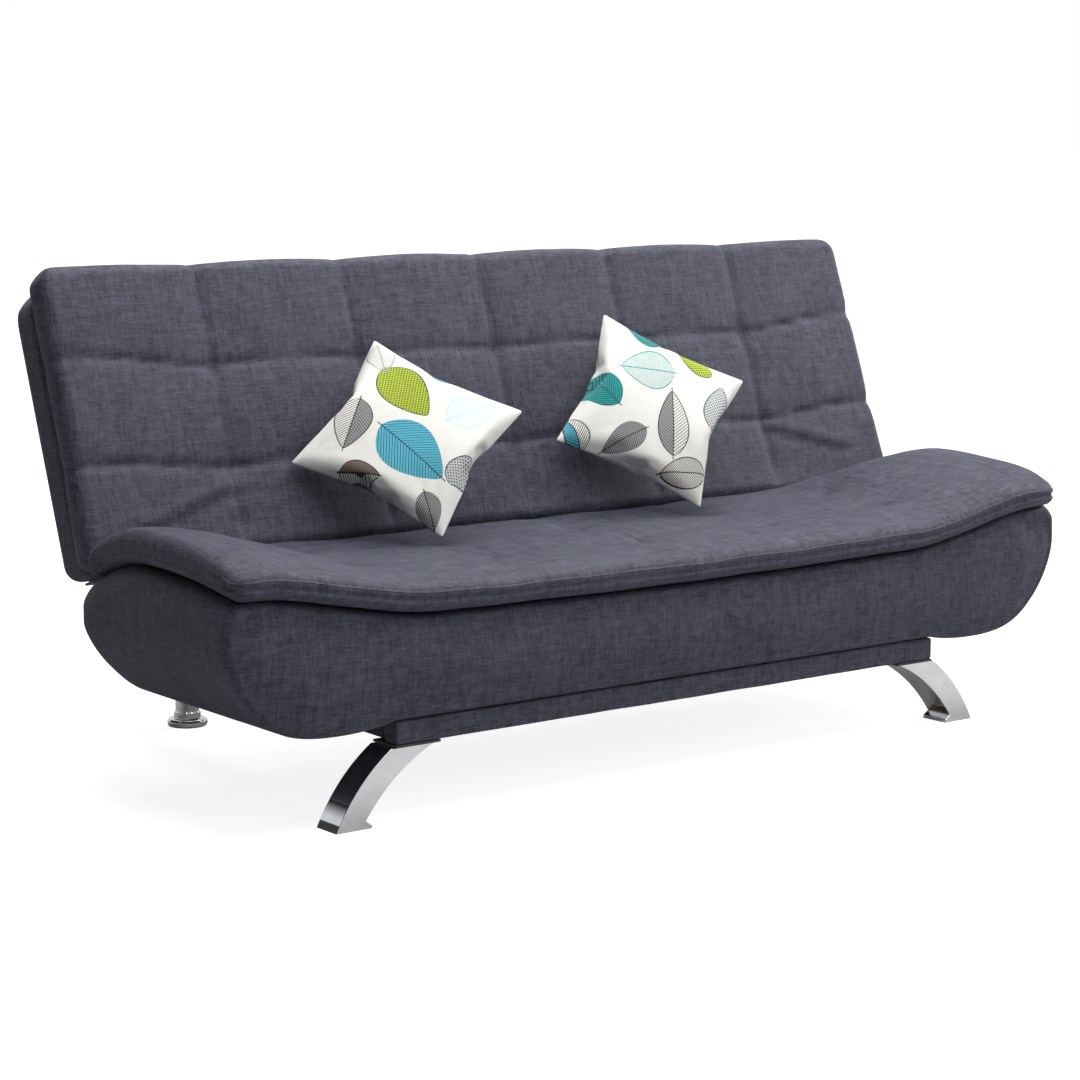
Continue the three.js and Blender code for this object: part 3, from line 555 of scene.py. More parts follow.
# %% [markdown]
# ## Seat body
# The boat-shaped body is board and foam under stretched cloth. Its outline is the same from front to
# back, so a box grid is stretched until its top and bottom follow the deck and the upturned underside.
# The front edge is then rolled over by each point's distance from that outline.

# %% Outline of the seat body
def bezier(p0, p1, p2, p3, count=40):
    t = np.linspace(0, 1, count + 1)[:, None]
    p0, p1, p2, p3 = (np.array(p) for p in (p0, p1, p2, p3))
    return (1 - t) ** 3 * p0 + 3 * t * (1 - t) ** 2 * p1 + 3 * t**2 * (1 - t) * p2 + t**3 * p3


FLAT_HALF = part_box("base_front_rail")[1].x
under_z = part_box("base_front_rail")[1].z + 0.0004
deck_end = DECK + float(saddle(BODY_HALF - 0.026))
bend = BODY_HALF - 0.118
run = bend - FLAT_HALF
sag = bezier((FLAT_HALF, under_z), (FLAT_HALF + 0.27 * run, under_z - 0.014),
             (FLAT_HALF + 0.75 * run, under_z - 0.018), (bend, under_z + 0.002))
turn_up = bezier((bend, under_z + 0.002), (BODY_HALF - 0.059, under_z + 0.024),
                 (BODY_HALF - 0.004, under_z + 0.098), (BODY_HALF, deck_end - 0.074))
deck_turn = bezier((BODY_HALF, deck_end - 0.074), (BODY_HALF + 0.001, deck_end - 0.040),
                   (BODY_HALF - 0.004, deck_end - 0.008), (BODY_HALF - 0.026, deck_end))
underside = np.concatenate([[(0, under_z)], sag, turn_up[1:]])
END_X = BODY_HALF - 0.0012


def body_bottom(x):
    return np.interp(np.minimum(np.abs(x), END_X), underside[:, 0], underside[:, 1])


def body_top(x):
    """The deck at mid-depth height, rounded down at the ends."""
    reach = np.minimum(np.abs(x), END_X)
    rounded = np.interp(reach, deck_turn[::-1, 0], deck_turn[::-1, 1])
    return np.where(reach > BODY_HALF - 0.026, rounded, DECK + saddle(reach))


def from_outline(x, z):
    """How far each point lies inside the underside and end, and inside the deck."""
    below = np.full(len(x), 9.0)
    for start, end in zip(underside[1:-1:2], underside[3::2]):
        below = np.minimum(below, np.hypot(*from_line(np.abs(x), z, start, end)))
    below = np.where(np.abs(x) < FLAT_HALF, z - under_z, below)
    end_face = np.hypot(np.abs(x) - END_X, np.minimum(0, z - turn_up[-1, 1]))
    above = body_top(x) - z
    return np.minimum(below, np.maximum(end_face, BODY_HALF - np.abs(x))), above


# %% Make the seat body
ROLL = 0.022


def body_columns():
    """Lines across the sofa, even in the middle and closer where the underside turns up."""
    steps = np.hypot(*np.diff(underside, axis=0).T)
    travelled = np.concatenate([[0], np.cumsum(steps)])
    total = travelled[-1]
    right = np.interp(np.arange(0, total, 0.0095), travelled, underside[:, 0])
    right = np.unique(np.clip(np.append(right, END_X), 0, END_X).round(5))
    right = right[np.append(np.diff(right) > 0.0004, True)]
    return np.concatenate([-right[:0:-1], right])


def seat_body_points():
    xs = body_columns()
    ys = np.linspace(BODY_FRONT + ROLL, BODY_REAR - ROLL, 40)
    share_of_height = np.array([0, 0.012, 0.03, 0.055, 0.085, 0.12, 0.16, 0.21, 0.27, 0.34, 0.42, 0.5, 0.58,
                                0.66, 0.73, 0.79, 0.84, 0.88, 0.915, 0.945, 0.97, 0.988, 1.0])
    points, quads = grid_box(xs, ys, share_of_height)
    x, y, share = points.T
    low, high = body_bottom(x), body_top(x)
    z = low + share * (high - low)
    below, above = from_outline(x, z)
    inside = np.clip(np.minimum(below, above), 0, ROLL)
    rolled = np.sqrt(np.clip(ROLL**2 - (ROLL - inside) ** 2, 0, None))
    front, rear = y <= ys[0] + 1e-6, y >= ys[-1] - 1e-6
    # Soft distance: the panel's seam turns the upper corners in a wide curve.
    soft = -0.020 * np.log(np.exp(-below / 0.020) + np.exp(-above / 0.020))
    seam = 0.0032 * bump(soft - 0.017, 0.0045) - 0.0018 * bump(soft - 0.006, 0.008)
    swell = 0.009 * smoothstep((soft - 0.017) / 0.07)
    upper = np.stack([x, z * 0.7, 0 * x], 1)
    drawn = ripple(upper * (0.8, 2.2, 1), 14.0, 12) * 0.0022
    drawn = drawn + ripple(upper * (2.0, 0.7, 1), 16.0, 13) * 0.0012
    tension = ripple(np.stack([x * 3 + z * 4, z * 9 - x * 2, 0 * x], 1), 6.0, 14)
    corner = smoothstep((np.abs(x) - 0.68) / 0.16) * smoothstep((z - 0.27) / 0.08)
    drawn = drawn + corner * tension * 0.0045
    face = swell - seam + drawn * smoothstep(soft / 0.03)
    y = np.where(front, y - rolled - face, y)
    y = np.where(rear, y + rolled + 0.3 * face, y)
    # Slack of the cloth band that wraps the ends and the underside.
    skin = ~(front | rear)
    band = smoothstep((y - BODY_FRONT - ROLL) / 0.03) * smoothstep((BODY_REAR - ROLL - y) / 0.03)
    slack = ripple(np.stack([y * 1.6, z * 1.2, x * 0.8], 1), 9.0, 15) * 0.0018
    x = x + np.where(skin, np.sign(x) * smoothstep((np.abs(x) - 0.80) / 0.1) * slack * band, 0)
    shoulder = under_z + 0.045
    lifted = np.clip((z - shoulder) / (high - shoulder), 0, 1) ** 1.3
    z = z + lifted * saddle(x) * (crown(y) - 1)
    return np.stack([x, y, z], 1), quads


points, quads = seat_body_points()
seat_body = make_mesh("seat_body_cover", points, quads)
seat_body.data.materials.append(body_cloth)
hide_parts("seat_shell")
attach(seat_body, "seat")
print("seat body:", len(points), "points")

# %% [markdown]
# ## Back pad
# The back pad is tufted into six columns and three rows. Cloth between tufts swells into soft squares,
# and the level seams hang in shallow arches because the cloth is pulled in at the tufts. The pad is
# drawn upright in the back's own frame and then leaned with it.

# %% The back's own frame
def lean_back(points):
    """From (across, forward-negative depth, height up the back) to the room."""
    x, depth, height = points.T
    y = HINGE[1] + depth * math.cos(LEAN) + height * math.sin(LEAN)
    z = HINGE[2] - depth * math.sin(LEAN) + height * math.cos(LEAN)
    return np.stack([x, y, z], 1)


def back_box(node):
    """Lowest and highest corner of a node in the back's own frame."""
    points = np.array([v.co for v in frame["nodes"][node].data.vertices])
    y, z = points[:, 1] - HINGE[1], points[:, 2] - HINGE[2]
    depth = y * math.cos(LEAN) - z * math.sin(LEAN)
    height = y * math.sin(LEAN) + z * math.cos(LEAN)
    local = np.stack([points[:, 0], depth, height], 1)
    return local.min(0), local.max(0)


# %% Shape the back pad
ROW_LOW, ROW_HIGH = 0.179, 0.362


# Depths from the pad's face. The face starts a little back, so that the puffs end near the face.
FACE_SETBACK = 0.004
PUFF = 0.0105
STITCH_DEPTH, STITCH_WIDTH = 0.0052, 0.0044
TUFT_DEPTH = 0.006
VALLEY_DEPTH = 0.0035
FOOT_FILL = 0.0095
PAD_CORNER = 0.040
SIDE_SETBACK = 0.007
# The two slack folds, each from its left end to its right end: across and up the back.
FOLDS = (((-0.80, 0.090), (-0.64, 0.142)), ((0.64, 0.168), (0.80, 0.115)))


def round_corners(across, height, half, top, radius):
    """Turn the two upper corners in a curve of this radius."""
    u = np.clip((np.abs(across) - half + radius) / radius, 0, 1)
    v = np.clip((height - top + radius) / radius, 0, 1)
    across = across - np.sign(across) * radius * u * (1 - np.sqrt(1 - v**2 / 2))
    height = height - radius * v * (1 - np.sqrt(1 - u**2 / 2))
    return across, height


def back_pad_points():
    low, high = back_box("back_pad")
    low, high = low.copy(), high.copy()
    low[1] += FACE_SETBACK
    half = high[0]
    points, quads = rolled_box(low, high, (0.0092, 0.008, 0.0092), EDGE_ROLL)
    x, depth, s = points.T
    front = smoothstep((low[1] + 0.040 - depth) / 0.030)
    column = (x + half) / COLUMN
    cell = np.clip(np.floor(column), 0, 5)
    a = column - cell
    a = np.where(cell == 0, 0.28 + 0.72 * a, np.where(cell == 5, 0.72 * a, a))
    arch = np.sin(np.pi * np.clip(a, 0, 1))
    lift = 0.022 * smoothstep((np.abs(x) - 0.62) / 0.31)
    seam_low = ROW_LOW + 0.007 * arch + lift * 0.8
    seam_high = ROW_HIGH + 0.008 * arch + lift
    to_low, to_high = s - seam_low, s - seam_high
    b = np.where(s < seam_low, 0.30 + 0.70 * (s - low[2]) / (seam_low - low[2]),
                 np.where(s < seam_high, (s - seam_low) / (seam_high - seam_low),
                          0.66 * (s - seam_high) / (high[2] - seam_high)))
    b = np.clip(b, 0, 1)
    swell = np.clip(np.sin(np.pi * a), 0, 1) ** 0.50 * np.clip(np.sin(np.pi * b), 0, 1) ** 0.24
    swell = PUFF * swell
    seam = np.minimum(np.abs(to_low), np.abs(to_high))
    sew = STITCH_DEPTH * bump(seam, STITCH_WIDTH)
    nearest = np.clip(np.round((x + half) / COLUMN), 1, 5) * COLUMN - half
    tuft = TUFT_DEPTH * bump(np.hypot(x - nearest, seam), 0.026)
    groove = VALLEY_DEPTH * bump(x - nearest, 0.0065)
    # The foot is packed against the seat pad, so the columns fade out there.
    foot = 1 - smoothstep((s - low[2]) / 0.06)
    out = (swell - sew - tuft - groove) * (1 - foot) + FOOT_FILL * foot
    # Slack cloth gathers at the two lower corners, where the seat's raised ends push it up.
    for start, end in FOLDS:
        aside, above = from_line(x, s, start, end)
        fade = bump(np.hypot(aside, above), 0.045)
        out = out + fade * (0.0042 * bump(above - 0.006, 0.015) - 0.0034 * bump(above + 0.012, 0.011))
    depth = depth - front * out
    # The edges are drawn in a little at each seam, and the top edge swells in each square.
    edge = smoothstep((np.abs(x) - half + 0.045) / 0.045)
    x = x - np.sign(x) * edge * 0.0025 * bump(seam, 0.016)
    top = smoothstep((s - high[2] + 0.05) / 0.05)
    s = s + top * (0.0035 * arch - 0.002)
    x, s = round_corners(x, s, half, high[2], PAD_CORNER)
    # The pad is cut narrower than the case behind it.
    x = x * (1 - SIDE_SETBACK / half * smoothstep((s - low[2]) / 0.25))
    points = np.stack([x, depth, s], 1)
    slack = ripple(points * (1, 1, 0.6), 10.0, 4) * 0.0026 + ripple(points * (1, 1, 0.4), 30.0, 5) * 0.0012
    by_the_side = bump(np.abs(x) - half + 0.02, 0.035) * bump(s - ROW_HIGH - 0.04, 0.06)
    strain = np.sin(s * 420) * by_the_side
    points[:, 1] -= front * (slack + 0.0012 * strain)
    return lean_back(points), quads


points, quads = back_pad_points()
back_pad = subdivide(make_mesh("back_pad_tufted", points, quads))
back_pad.data.materials.append(grey_cloth)
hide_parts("back_pad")
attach(back_pad, "back")
print("back pad:", len(points), "points")

# %% [markdown]
# ## Back shell
# Behind the pad is a firm upholstered case with rounded edges and a plain panel sewn across its rear.
# It is the same rolled box again, with a welt groove where the panel is sewn in.

# %% Shape the back shell
CASE_ROLL = 0.030
CASE_CORNER = 0.060
SIDE_FULLNESS = 0.006


def back_shell_points():
    low, high = back_box("back_shell")
    points, quads = rolled_box(low, high, (0.014, 0.012, 0.014), CASE_ROLL)
    x, depth, s = points.T
    rear = smoothstep((depth - high[1] + 0.02) / 0.012)
    border = np.minimum(high[0] - np.abs(x), np.minimum(s - low[2], high[2] - s))
    welt = rear * (0.0030 * bump(border - 0.036, 0.007) - 0.0015 * bump(border - 0.050, 0.006))
    depth = depth - welt
    x, s = round_corners(x, s, high[0], high[2], CASE_CORNER)
    x = x + np.sign(x) * SIDE_FULLNESS * smoothstep((np.abs(x) - high[0] + 0.10) / 0.09)
    slack = ripple(np.stack([x, depth, s], 1) * (0.5, 1, 1), 8.0, 6) * 0.0022
    depth = depth + rear * slack * smoothstep(border / 0.05)
    return lean_back(np.stack([x, depth, s], 1)), quads


points, quads = back_shell_points()
back_shell = subdivide(make_mesh("back_shell_cover", points, quads))
back_shell.data.materials.append(body_cloth)
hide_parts("back_shell", "back_rear_panel")
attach(back_shell, "back")

# %% [markdown]
# ## Small soft pieces
# The front rail is wrapped in the same cloth. Inside are the foam slabs, and under the seat a thin
# dust cover is stapled flat.

# %% Rail wrap, foam slabs and dust cover
def rolled_block(name, low, high, radius, step, finish, uneven):
    points, quads = rolled_box(low, high, (step, step, step), radius, ring=3)
    points = points + (ripple(points, 12.0, 8) * uneven)[:, None] * (0, 1, 1)
    piece = make_mesh(name, points, quads)
    piece.data.materials.append(finish)
    return piece


for rail in ("base_front_rail", "base_side_rail_left", "base_side_rail_right"):
    rail_wrap = rolled_block(f"{rail}_wrap", *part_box(rail), 0.004, 0.012, body_cloth, 0.0006)
    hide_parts(rail)
    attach(rail_wrap, "base")

foam_low, foam_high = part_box("seat_foam")
seat_foam = rolled_block("seat_foam_slab", foam_low, foam_high, 0.004, 0.03, foam_finish, 0.0004)
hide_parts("seat_foam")
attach(seat_foam, "seat")

foam_low, foam_high = back_box("back_foam")
back_foam = rolled_block("back_foam_slab", foam_low, foam_high, 0.003, 0.03, foam_finish, 0.0003)
points = np.array([v.co for v in back_foam.data.vertices])
back_foam.data.vertices.foreach_set("co", lean_back(points).ravel())
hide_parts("back_foam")
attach(back_foam, "back")

cover_low, cover_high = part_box("seat_dust_cover")


def dust_cover_points():
    across, deep = 90, 28
    xs = np.linspace(cover_low.x, cover_high.x, across)
    ys = np.linspace(cover_low.y, cover_high.y, deep)
    grid = np.array([(x, y) for y in ys for x in xs])
    sag = ripple(np.column_stack([grid, np.zeros(len(grid))]), 6.0, 9) * 0.001
    points = np.column_stack([grid, cover_low.z + 0.0015 + sag])
    first = [j * across + i for j in range(deep - 1) for i in range(across - 1)]
    quads = [(n, n + 1, n + across + 1, n + across) for n in first]
    return points, quads


points, quads = dust_cover_points()
dust_cover = make_mesh("dust_cover_sheet", points, quads)
dust_cover.data.materials.append(lining_cloth)
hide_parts("seat_dust_cover")
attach(dust_cover, "seat")

# %% [markdown]
# ## Chrome legs
# Chrome shows every facet, so the swept front legs and round rear legs are remade with fine curves
# and a small bevel on each edge that catches the light.

# %% Front legs
def quadratic(p0, p1, p2, count):
    t = np.linspace(0, 1, count + 1)[:, None]
    p0, p1, p2 = (np.array(p, float) for p in (p0, p1, p2))
    return (1 - t) ** 2 * p0 + 2 * t * (1 - t) * p1 + t**2 * p2


def front_leg(word, side):
    low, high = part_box(f"front_leg_{word}")
    foot = max(abs(low.x), abs(high.x))
    top = high.z
    outer = quadratic((foot, 0), (foot - 0.038, 0.62 * top), (foot - 0.108, top), 36)
    inner = quadratic((foot - 0.196, top), (foot - 0.112, 0.72 * top), (foot - 0.058, 0.014), 36)
    rim = np.concatenate([outer, inner, [(foot - 0.070, 0.006), (foot - 0.070, 0)]])
    count = len(rim)
    points = [(side * x, y, z) for y in (low.y, high.y) for x, z in rim]
    faces = [tuple(range(count)), tuple(range(2 * count - 1, count - 1, -1))]
    faces += [((i + 1) % count, i, count + i, count + (i + 1) % count) for i in range(count)]
    if side < 0:
        faces = [face[::-1] for face in faces]
    piece = make_mesh(f"chrome_front_leg_{word}", points, faces, smooth=True)
    piece.data.materials.append(chrome_finish)
    piece.data.materials.append(toe_finish)
    for face in piece.data.polygons:
        at_toe = face.center.z < 0.013 and abs(face.center.x) > foot - 0.030
        face.material_index = 1 if at_toe and len(face.vertices) == 4 else 0
    soften_edges(piece, 0.0016, 3, 28)
    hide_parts(f"front_leg_{word}")
    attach(piece, "base")
    return piece


for word, side in (("left", -1), ("right", 1)):
    front_leg(word, side)


# %% Rear legs and glides
def turned(name, centre, profile, body, replaced, segments=96):
    """A shape turned on a lathe: profile is (radius, height) from bottom axis to top axis."""
    points, faces = [], []
    inner = profile[1:-1]
    for radius, height in inner:
        for k in range(segments):
            angle = 2 * math.pi * k / segments
            x, y = radius * math.cos(angle), radius * math.sin(angle)
            points.append((centre[0] + x, centre[1] + y, height))
    for r in range(len(inner) - 1):
        for k in range(segments):
            near, far = r * segments + k, r * segments + (k + 1) % segments
            faces.append((near, far, far + segments, near + segments))
    faces.append(tuple(range(segments))[::-1])
    faces.append(tuple(range((len(inner) - 1) * segments, len(inner) * segments)))
    piece = make_mesh(name, points, faces)
    soften_edges(piece, 0.0008, 2, 30)
    piece.data.materials.append(chrome_finish)
    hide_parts(replaced)
    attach(piece, body)
    return piece


for word in ("left", "right"):
    low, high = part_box(f"rear_leg_{word}")
    radius = (high.x - low.x) / 2
    centre = ((low.x + high.x) / 2, (low.y + high.y) / 2)
    collar = [(radius + 0.003, low.z), (radius + 0.003, low.z + 0.012), (radius, low.z + 0.014)]
    turned(f"chrome_rear_leg_{word}", centre,
           [(0, low.z)] + collar + [(radius, high.z), (0, high.z)], "base", f"rear_leg_{word}")
    low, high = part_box(f"rear_leg_glide_{word}")
    wide = (high.x - low.x) / 2
    rim = [(wide - 0.002, 0), (wide, 0.003), (wide, high.z - 0.004), (wide - 0.004, high.z)]
    turned(f"chrome_glide_{word}", centre, [(0, 0)] + rim + [(0, high.z)], "base", f"rear_leg_glide_{word}")


# %% [markdown]
# ## Scatter cushions
# A scatter cushion is two squares of cloth sewn together and stuffed. Blown up from flat, the sides
# draw in between the corners and small creases run in from the seams, which is what a cloth
# simulation does well. Each cushion is modelled lying flat, blown up, and then set in place.

# %% A leaf for the print
def leaf_group():
    """One leaf in the plane: centre, turn, half length and half width give its fill and its veins."""
    group, start, end = new_group(
        "printed_leaf",
        [
            ("Plane", "NodeSocketVector", None), ("X", "NodeSocketFloat", 0.0), ("Y", "NodeSocketFloat", 0.0),
            ("Turn", "NodeSocketFloat", 0.0), ("Half length", "NodeSocketFloat", 0.06),
            ("Half width", "NodeSocketFloat", 0.03), ("Veins", "NodeSocketFloat", 9.0),
            ("Line", "NodeSocketFloat", 0.0011),
        ],
        [("Fill", "NodeSocketFloat"), ("Veins", "NodeSocketFloat"), ("Outline", "NodeSocketFloat"),
         ("Dots", "NodeSocketFloat"), ("Half", "NodeSocketFloat")],
    )
    w = Wiring(group)
    source = start.outputs
    x, y, _ = w.split(source["Plane"])
    dx = w.math("SUBTRACT", x, source["X"])
    dy = w.math("SUBTRACT", y, source["Y"])
    cos, sin = w.math("COSINE", source["Turn"]), w.math("SINE", source["Turn"])
    along = w.math("ADD", w.math("MULTIPLY", dx, cos), w.math("MULTIPLY", dy, sin))
    across = w.math("SUBTRACT", w.math("MULTIPLY", dy, cos), w.math("MULTIPLY", dx, sin))
    p = w.math("DIVIDE", along, source["Half length"])
    # Fuller towards the stem than at the tip.
    belly = w.math("SUBTRACT", 1.0, w.math("MULTIPLY", p, p), clamp=True)
    skew = w.math("SUBTRACT", 1.0, w.math("MULTIPLY", p, 0.32))
    width = w.math("MULTIPLY", w.math("MULTIPLY", w.math("POWER", belly, 0.75), skew), source["Half width"])
    reach = w.math("ABSOLUTE", across)
    fill = w.math("GREATER_THAN", w.math("SUBTRACT", width, reach), 0.0)
    edge = w.math("LESS_THAN", w.math("ABSOLUTE", w.math("SUBTRACT", width, reach)), source["Line"])
    edge = w.math("MULTIPLY", edge, w.math("LESS_THAN", w.math("ABSOLUTE", p), 1.0))
    rib = w.math("LESS_THAN", reach, w.math("MULTIPLY", source["Line"], 0.9))
    rib = w.math("MULTIPLY", rib, w.math("LESS_THAN", w.math("ABSOLUTE", p), 1.12))
    climb = w.math("DIVIDE", reach, source["Half length"])
    slanted = w.math("SUBTRACT", p, w.math("MULTIPLY", climb, 0.9))
    stripe = w.math("FRACT", w.math("MULTIPLY", slanted, source["Veins"]))
    thin = w.math("MULTIPLY", w.math("DIVIDE", source["Line"], source["Half length"]), source["Veins"])
    stripe = w.math("LESS_THAN", stripe, w.math("MULTIPLY", thin, 1.5))
    veins = w.math("MAXIMUM", w.math("MULTIPLY", stripe, fill), rib)
    row = w.math("SINE", w.math("MULTIPLY", along, 900.0))
    col = w.math("SINE", w.math("MULTIPLY", across, 900.0))
    dots = w.math("MULTIPLY", w.math("GREATER_THAN", w.math("MULTIPLY", row, col), 0.35), fill)
    half = w.math("MULTIPLY", fill, w.math("GREATER_THAN", across, 0.0))
    made = {"Fill": fill, "Veins": veins, "Outline": edge, "Dots": dots, "Half": half}
    for label, value in made.items():
        group.links.new(value, end.inputs[label])
    return group


printed_leaf = leaf_group()

# %% The printed cloth
INK = (0.035, 0.035, 0.04, 1)
TEAL = (0.010, 0.30, 0.29, 1)
BLUE = (0.085, 0.42, 0.55, 1)
PALE_BLUE = (0.42, 0.66, 0.70, 1)
LIME = (0.38, 0.47, 0.03, 1)
GREY = (0.30, 0.30, 0.30, 1)
PALE_GREY = (0.52, 0.54, 0.54, 1)
BROWN = (0.24, 0.17, 0.13, 1)


# What each style prints, in order: a part of the leaf, and whether in the leaf's colour or in ink.
STYLES = {
    "solid": (("Fill", True), ("Veins", False)),
    "dotted": (("Fill", True), ("Dots", False), ("Outline", False)),
    "half": (("Half", True), ("Veins", False), ("Outline", False)),
    "line": (("Veins", True), ("Outline", True)),
}


def printed_cloth(name, leaves):
    """Off-white linen with leaves: (x, y, turn, half length, half width, veins, colour, style)."""
    material, w, shader = new_material(name, **{
        "Roughness": 0.9, "Sheen Weight": 0.15, "Sheen Roughness": 0.5, "Specular IOR Level": 0.2,
    })
    where = w.node("ShaderNodeTexCoord").outputs["Object"]
    weave = w.node("ShaderNodeGroup", node_tree=slub_weave)
    w.put(weave.inputs["Plane"], where)
    weave.inputs["Thread"].default_value = 0.0009
    weave.inputs["Slub"].default_value = 0.35
    ground = w.mix(weave.outputs["Shade"], (0.66, 0.65, 0.60, 1), (0.84, 0.83, 0.79, 1))
    colour = w.mix(weave.outputs["Fleck"], ground, (0.93, 0.92, 0.88, 1))
    for x, y, turn, length, width, veins, tint, style in leaves:
        leaf = w.node("ShaderNodeGroup", node_tree=printed_leaf)
        w.put(leaf.inputs["Plane"], where)
        for label, value in (("X", x), ("Y", y), ("Turn", math.radians(turn)), ("Half length", length),
                             ("Half width", width), ("Veins", veins)):
            leaf.inputs[label].default_value = value
        for part, in_colour in STYLES[style]:
            colour = w.mix(leaf.outputs[part], colour, tint if in_colour else INK)
    w.put(shader.inputs["Base Color"], colour)
    add_bump(w, shader, weave.outputs["Height"], 0.0008, 0.5)
    return material


left_print = printed_cloth("printed_linen_left", [
    (0.045, 0.030, 75, 0.074, 0.050, 11, BLUE, "solid"),
    (-0.060, -0.040, 65, 0.066, 0.040, 10, LIME, "dotted"),
    (0.045, -0.090, 12, 0.052, 0.032, 9, GREY, "half"),
    (-0.085, 0.080, 150, 0.050, 0.032, 9, PALE_BLUE, "line"),
    (0.030, 0.122, 170, 0.036, 0.022, 7, PALE_GREY, "dotted"),
    (0.125, -0.030, 105, 0.036, 0.020, 8, BROWN, "half"),
    (-0.130, 0.005, 95, 0.034, 0.018, 7, TEAL, "solid"),
    (-0.110, -0.115, 40, 0.036, 0.024, 7, GREY, "line"),
    (0.125, 0.110, 45, 0.034, 0.022, 7, GREY, "solid"),
])
right_print = printed_cloth("printed_linen_right", [
    (0.055, 0.040, 110, 0.054, 0.040, 12, TEAL, "line"),
    (-0.030, -0.040, 20, 0.066, 0.030, 10, GREY, "half"),
    (-0.020, 0.115, 65, 0.050, 0.034, 9, TEAL, "solid"),
    (-0.100, 0.035, 140, 0.046, 0.026, 10, GREY, "solid"),
    (0.118, -0.045, 80, 0.040, 0.020, 9, LIME, "dotted"),
    (-0.110, -0.095, 115, 0.046, 0.028, 11, INK, "line"),
    (0.045, -0.115, 5, 0.052, 0.028, 8, PALE_GREY, "dotted"),
    (0.128, 0.070, 70, 0.038, 0.018, 8, TEAL, "solid"),
    (-0.125, 0.125, 45, 0.036, 0.022, 7, BLUE, "half"),
])


# %% Blow up a cushion
def cushion_place(node):
    """Centre and turn of a cushion, from the corners of its solid."""
    points = np.array([v.co for v in frame["nodes"][node].data.vertices])
    centre = points.mean(0)
    _, _, axes = np.linalg.svd(points - centre)
    thin = axes[2]
    if thin[1] > 0:
        thin = -thin
    flat = points - centre - np.outer((points - centre) @ thin, thin)
    far = flat[np.argmax(np.linalg.norm(flat, axis=1))]
    size = np.linalg.norm(far) * math.sqrt(2)
    diagonal = far / np.linalg.norm(far)
    side = np.cross(thin, diagonal)
    x_axis = (diagonal + side) / math.sqrt(2)
    y_axis = np.cross(thin, x_axis)
    turn = Matrix((x_axis, y_axis, thin)).transposed().to_4x4()
    turn.translation = Vector(centre)
    thick = 2 * np.abs((points - centre) @ thin).max()
    return turn, size, thick


def blown_cushion(name, node, finish):
    place, size, thick = cushion_place(node)
    flat_size = size * 1.06
    half, cells = flat_size / 2, 40
    lines = np.linspace(-half, half, cells + 1)
    points, quads = grid_box(lines, lines, np.array([-0.006, 0.0, 0.006]))
    edge = np.maximum(np.abs(points[:, 0]), np.abs(points[:, 1])) / half
    points[:, 2] *= 1 - 0.7 * edge**6
    piece = make_mesh(name, points, quads)
    cloth = piece.modifiers.new("stuffing", "CLOTH")
    settings = cloth.settings
    settings.quality = 8
    settings.mass = 0.25
    settings.tension_stiffness = 30
    settings.compression_stiffness = 20
    settings.shear_stiffness = 10
    settings.bending_stiffness = 0.6
    settings.use_pressure = True
    settings.uniform_pressure_force = 1.9
    settings.effector_weights.gravity = 0
    cloth.point_cache.frame_start = 1
    cloth.point_cache.frame_end = 30
    for step in range(1, 21):
        bpy.context.scene.frame_set(step)
    view = bpy.context.evaluated_depsgraph_get()
    blown = np.array([v.co for v in piece.evaluated_get(view).data.vertices])
    piece.modifiers.remove(cloth)
    bpy.context.scene.frame_set(1)
    reach = np.abs(blown[:, :2]).max()
    blown[:, :2] *= size / 2 / reach
    blown[:, 2] *= min(1.0, thick / (2 * np.abs(blown[:, 2]).max()))
    piece.data.vertices.foreach_set("co", blown.ravel())
    piece.data.update()
    subdivide(piece)
    piece.matrix_world = place
    piece.data.materials.append(finish)
    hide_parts(node)
    print(name, "side", round(size, 3), "thickness", round(thick, 3))
    return piece


left_cushion = blown_cushion("scatter_cushion_left", "cushion_left", left_print)
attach(left_cushion, "left_cushion")
right_cushion = blown_cushion("scatter_cushion_right", "cushion_right", right_print)
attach(right_cushion, "right_cushion")

# %% [markdown]
# ## Finishes on the ready-made parts
# The frame's own parts keep their shapes. Each takes the finish of the material slot that its record
# names, so nothing is left in plain grey.

# %% Finish the ready-made parts
SLOT_FINISH = {
    "grey_fabric": body_cloth, "lining": lining_cloth, "foam": foam_finish, "timber": timber_finish,
    "chrome": chrome_finish, "dark_steel": steel_finish, "spring_wire": wire_finish,
    "printed_linen": left_print,
}
for row in frame["record"]["subparts"]:
    node = frame["nodes"][row["node"]]
    node.data.materials.clear()
    node.data.materials.append(SLOT_FINISH[row["material_slot"]])

# %% [markdown]
# ## Room and light
# A pale floor, a wide soft light overhead and a fill from the front. The surroundings that only the
# chrome sees have a dark band to one side, as a studio's black card gives.

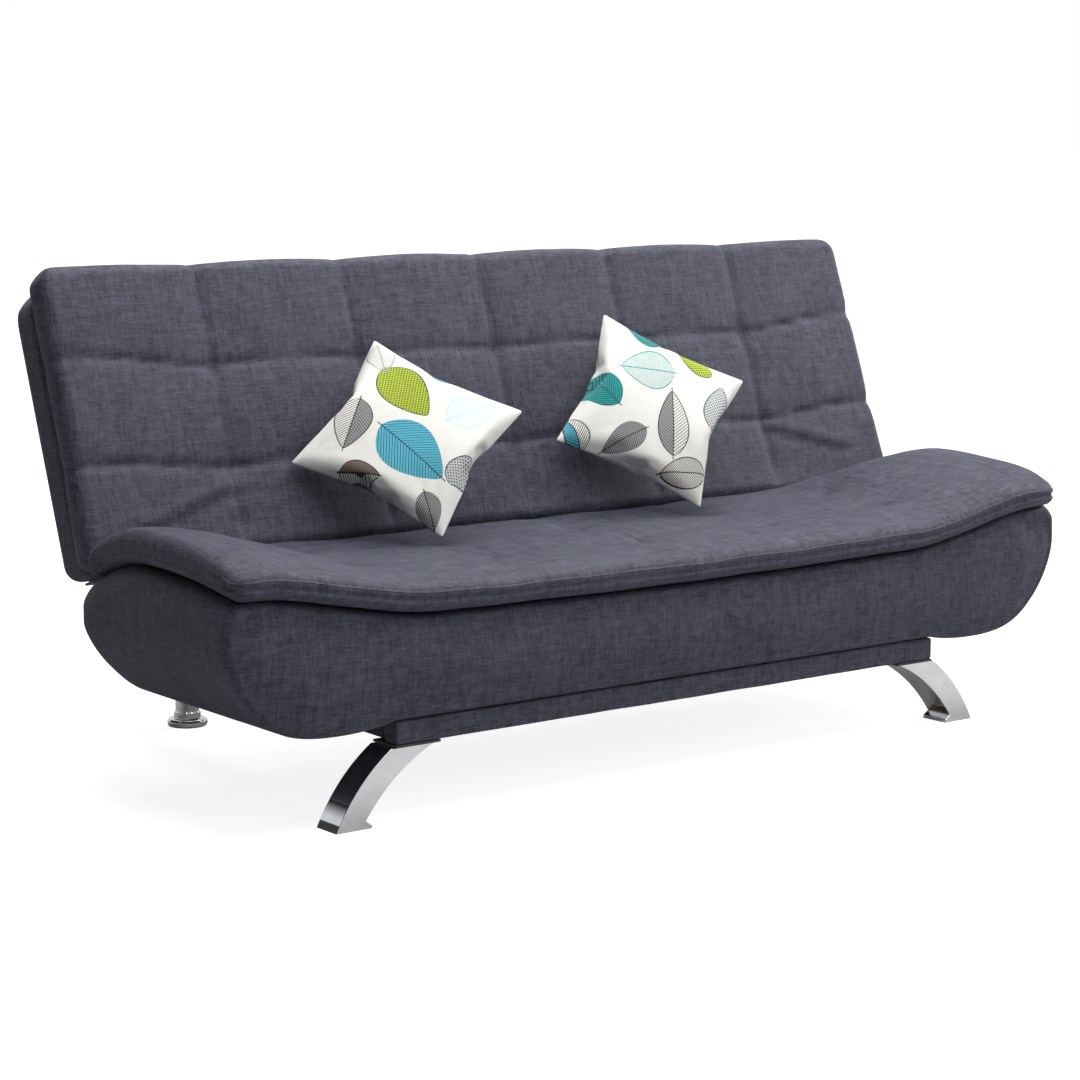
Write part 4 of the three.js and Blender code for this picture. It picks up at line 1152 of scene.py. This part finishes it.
# %% Floor
floor_mesh = bpy.data.meshes.new("floor")
floor_mesh.from_pydata([(-30, -30, 0), (30, -30, 0), (30, 30, 0), (-30, 30, 0)], [], [(0, 1, 2, 3)])
floor = bpy.data.objects.new("floor", floor_mesh)
bpy.context.scene.collection.objects.link(floor)
floor_finish, w, shader = new_material("pale_floor", **{
    "Roughness": 0.9, "Base Color": (0.55, 0.55, 0.55, 1),
    "Emission Color": (1, 1, 1, 1), "Specular IOR Level": 0.0,
})
to_camera = w.node("ShaderNodeLightPath").outputs["Is Camera Ray"]
across, away, _ = w.split(w.node("ShaderNodeTexCoord").outputs["Object"])
squares = w.math("ADD", w.math("MULTIPLY", across, across), w.math("MULTIPLY", away, away))
distance = w.math("SQRT", squares)
strength = w.math("ADD", w.math("MULTIPLY", w.ramp(distance, 1.2, 4.0), 0.30), 0.86)
w.put(shader.inputs["Emission Strength"], w.math("MULTIPLY", to_camera, strength))
floor.data.materials.append(floor_finish)


# %% Lights and surroundings
def soft_light(name, place, aim, size, power):
    data = bpy.data.lights.new(name, "AREA")
    data.shape = "RECTANGLE"
    data.size, data.size_y = size
    data.energy = power
    light = bpy.data.objects.new(name, data)
    bpy.context.scene.collection.objects.link(light)
    light.location = place
    light.rotation_euler = (Vector(aim) - Vector(place)).to_track_quat("-Z", "Y").to_euler()
    return light


soft_light("overhead", (0.3, -0.3, 3.4), (0, 0, 0.3), (4.5, 2.6), 205)
soft_light("front_fill", (1.2, -4.6, 2.6), (0, 0, 0.4), (4.0, 2.0), 62)
soft_light("right_fill", (4.2, -0.8, 2.2), (0, 0, 0.4), (2.0, 2.0), 92)
AMBIENT = 0.08

world = bpy.data.worlds.new("studio")
bpy.context.scene.world = world
world.use_nodes = True
w = Wiring(world.node_tree)
background = world.node_tree.nodes["Background"]
direction = w.node("ShaderNodeTexCoord").outputs["Generated"]
x, y, z = w.split(direction)
card = w.math("MULTIPLY", w.ramp(x, -0.10, -0.22), w.ramp(z, 0.33, 0.39))
glow = w.mix(card, (0.80, 0.81, 0.84, 1), (0.02, 0.02, 0.022, 1))
path = w.node("ShaderNodeLightPath").outputs
sky = w.math("MULTIPLY", w.math("ADD", w.math("MULTIPLY", z, 0.6), 0.4), AMBIENT)
lit = w.mix(path["Is Diffuse Ray"], glow, w.combine(sky, sky, w.math("MULTIPLY", sky, 1.05)))
w.put(background.inputs["Color"], w.mix(path["Is Camera Ray"], lit, (1, 1, 1, 1)))
background.inputs["Strength"].default_value = 1.0
bpy.context.scene.view_settings.view_transform = "Standard"
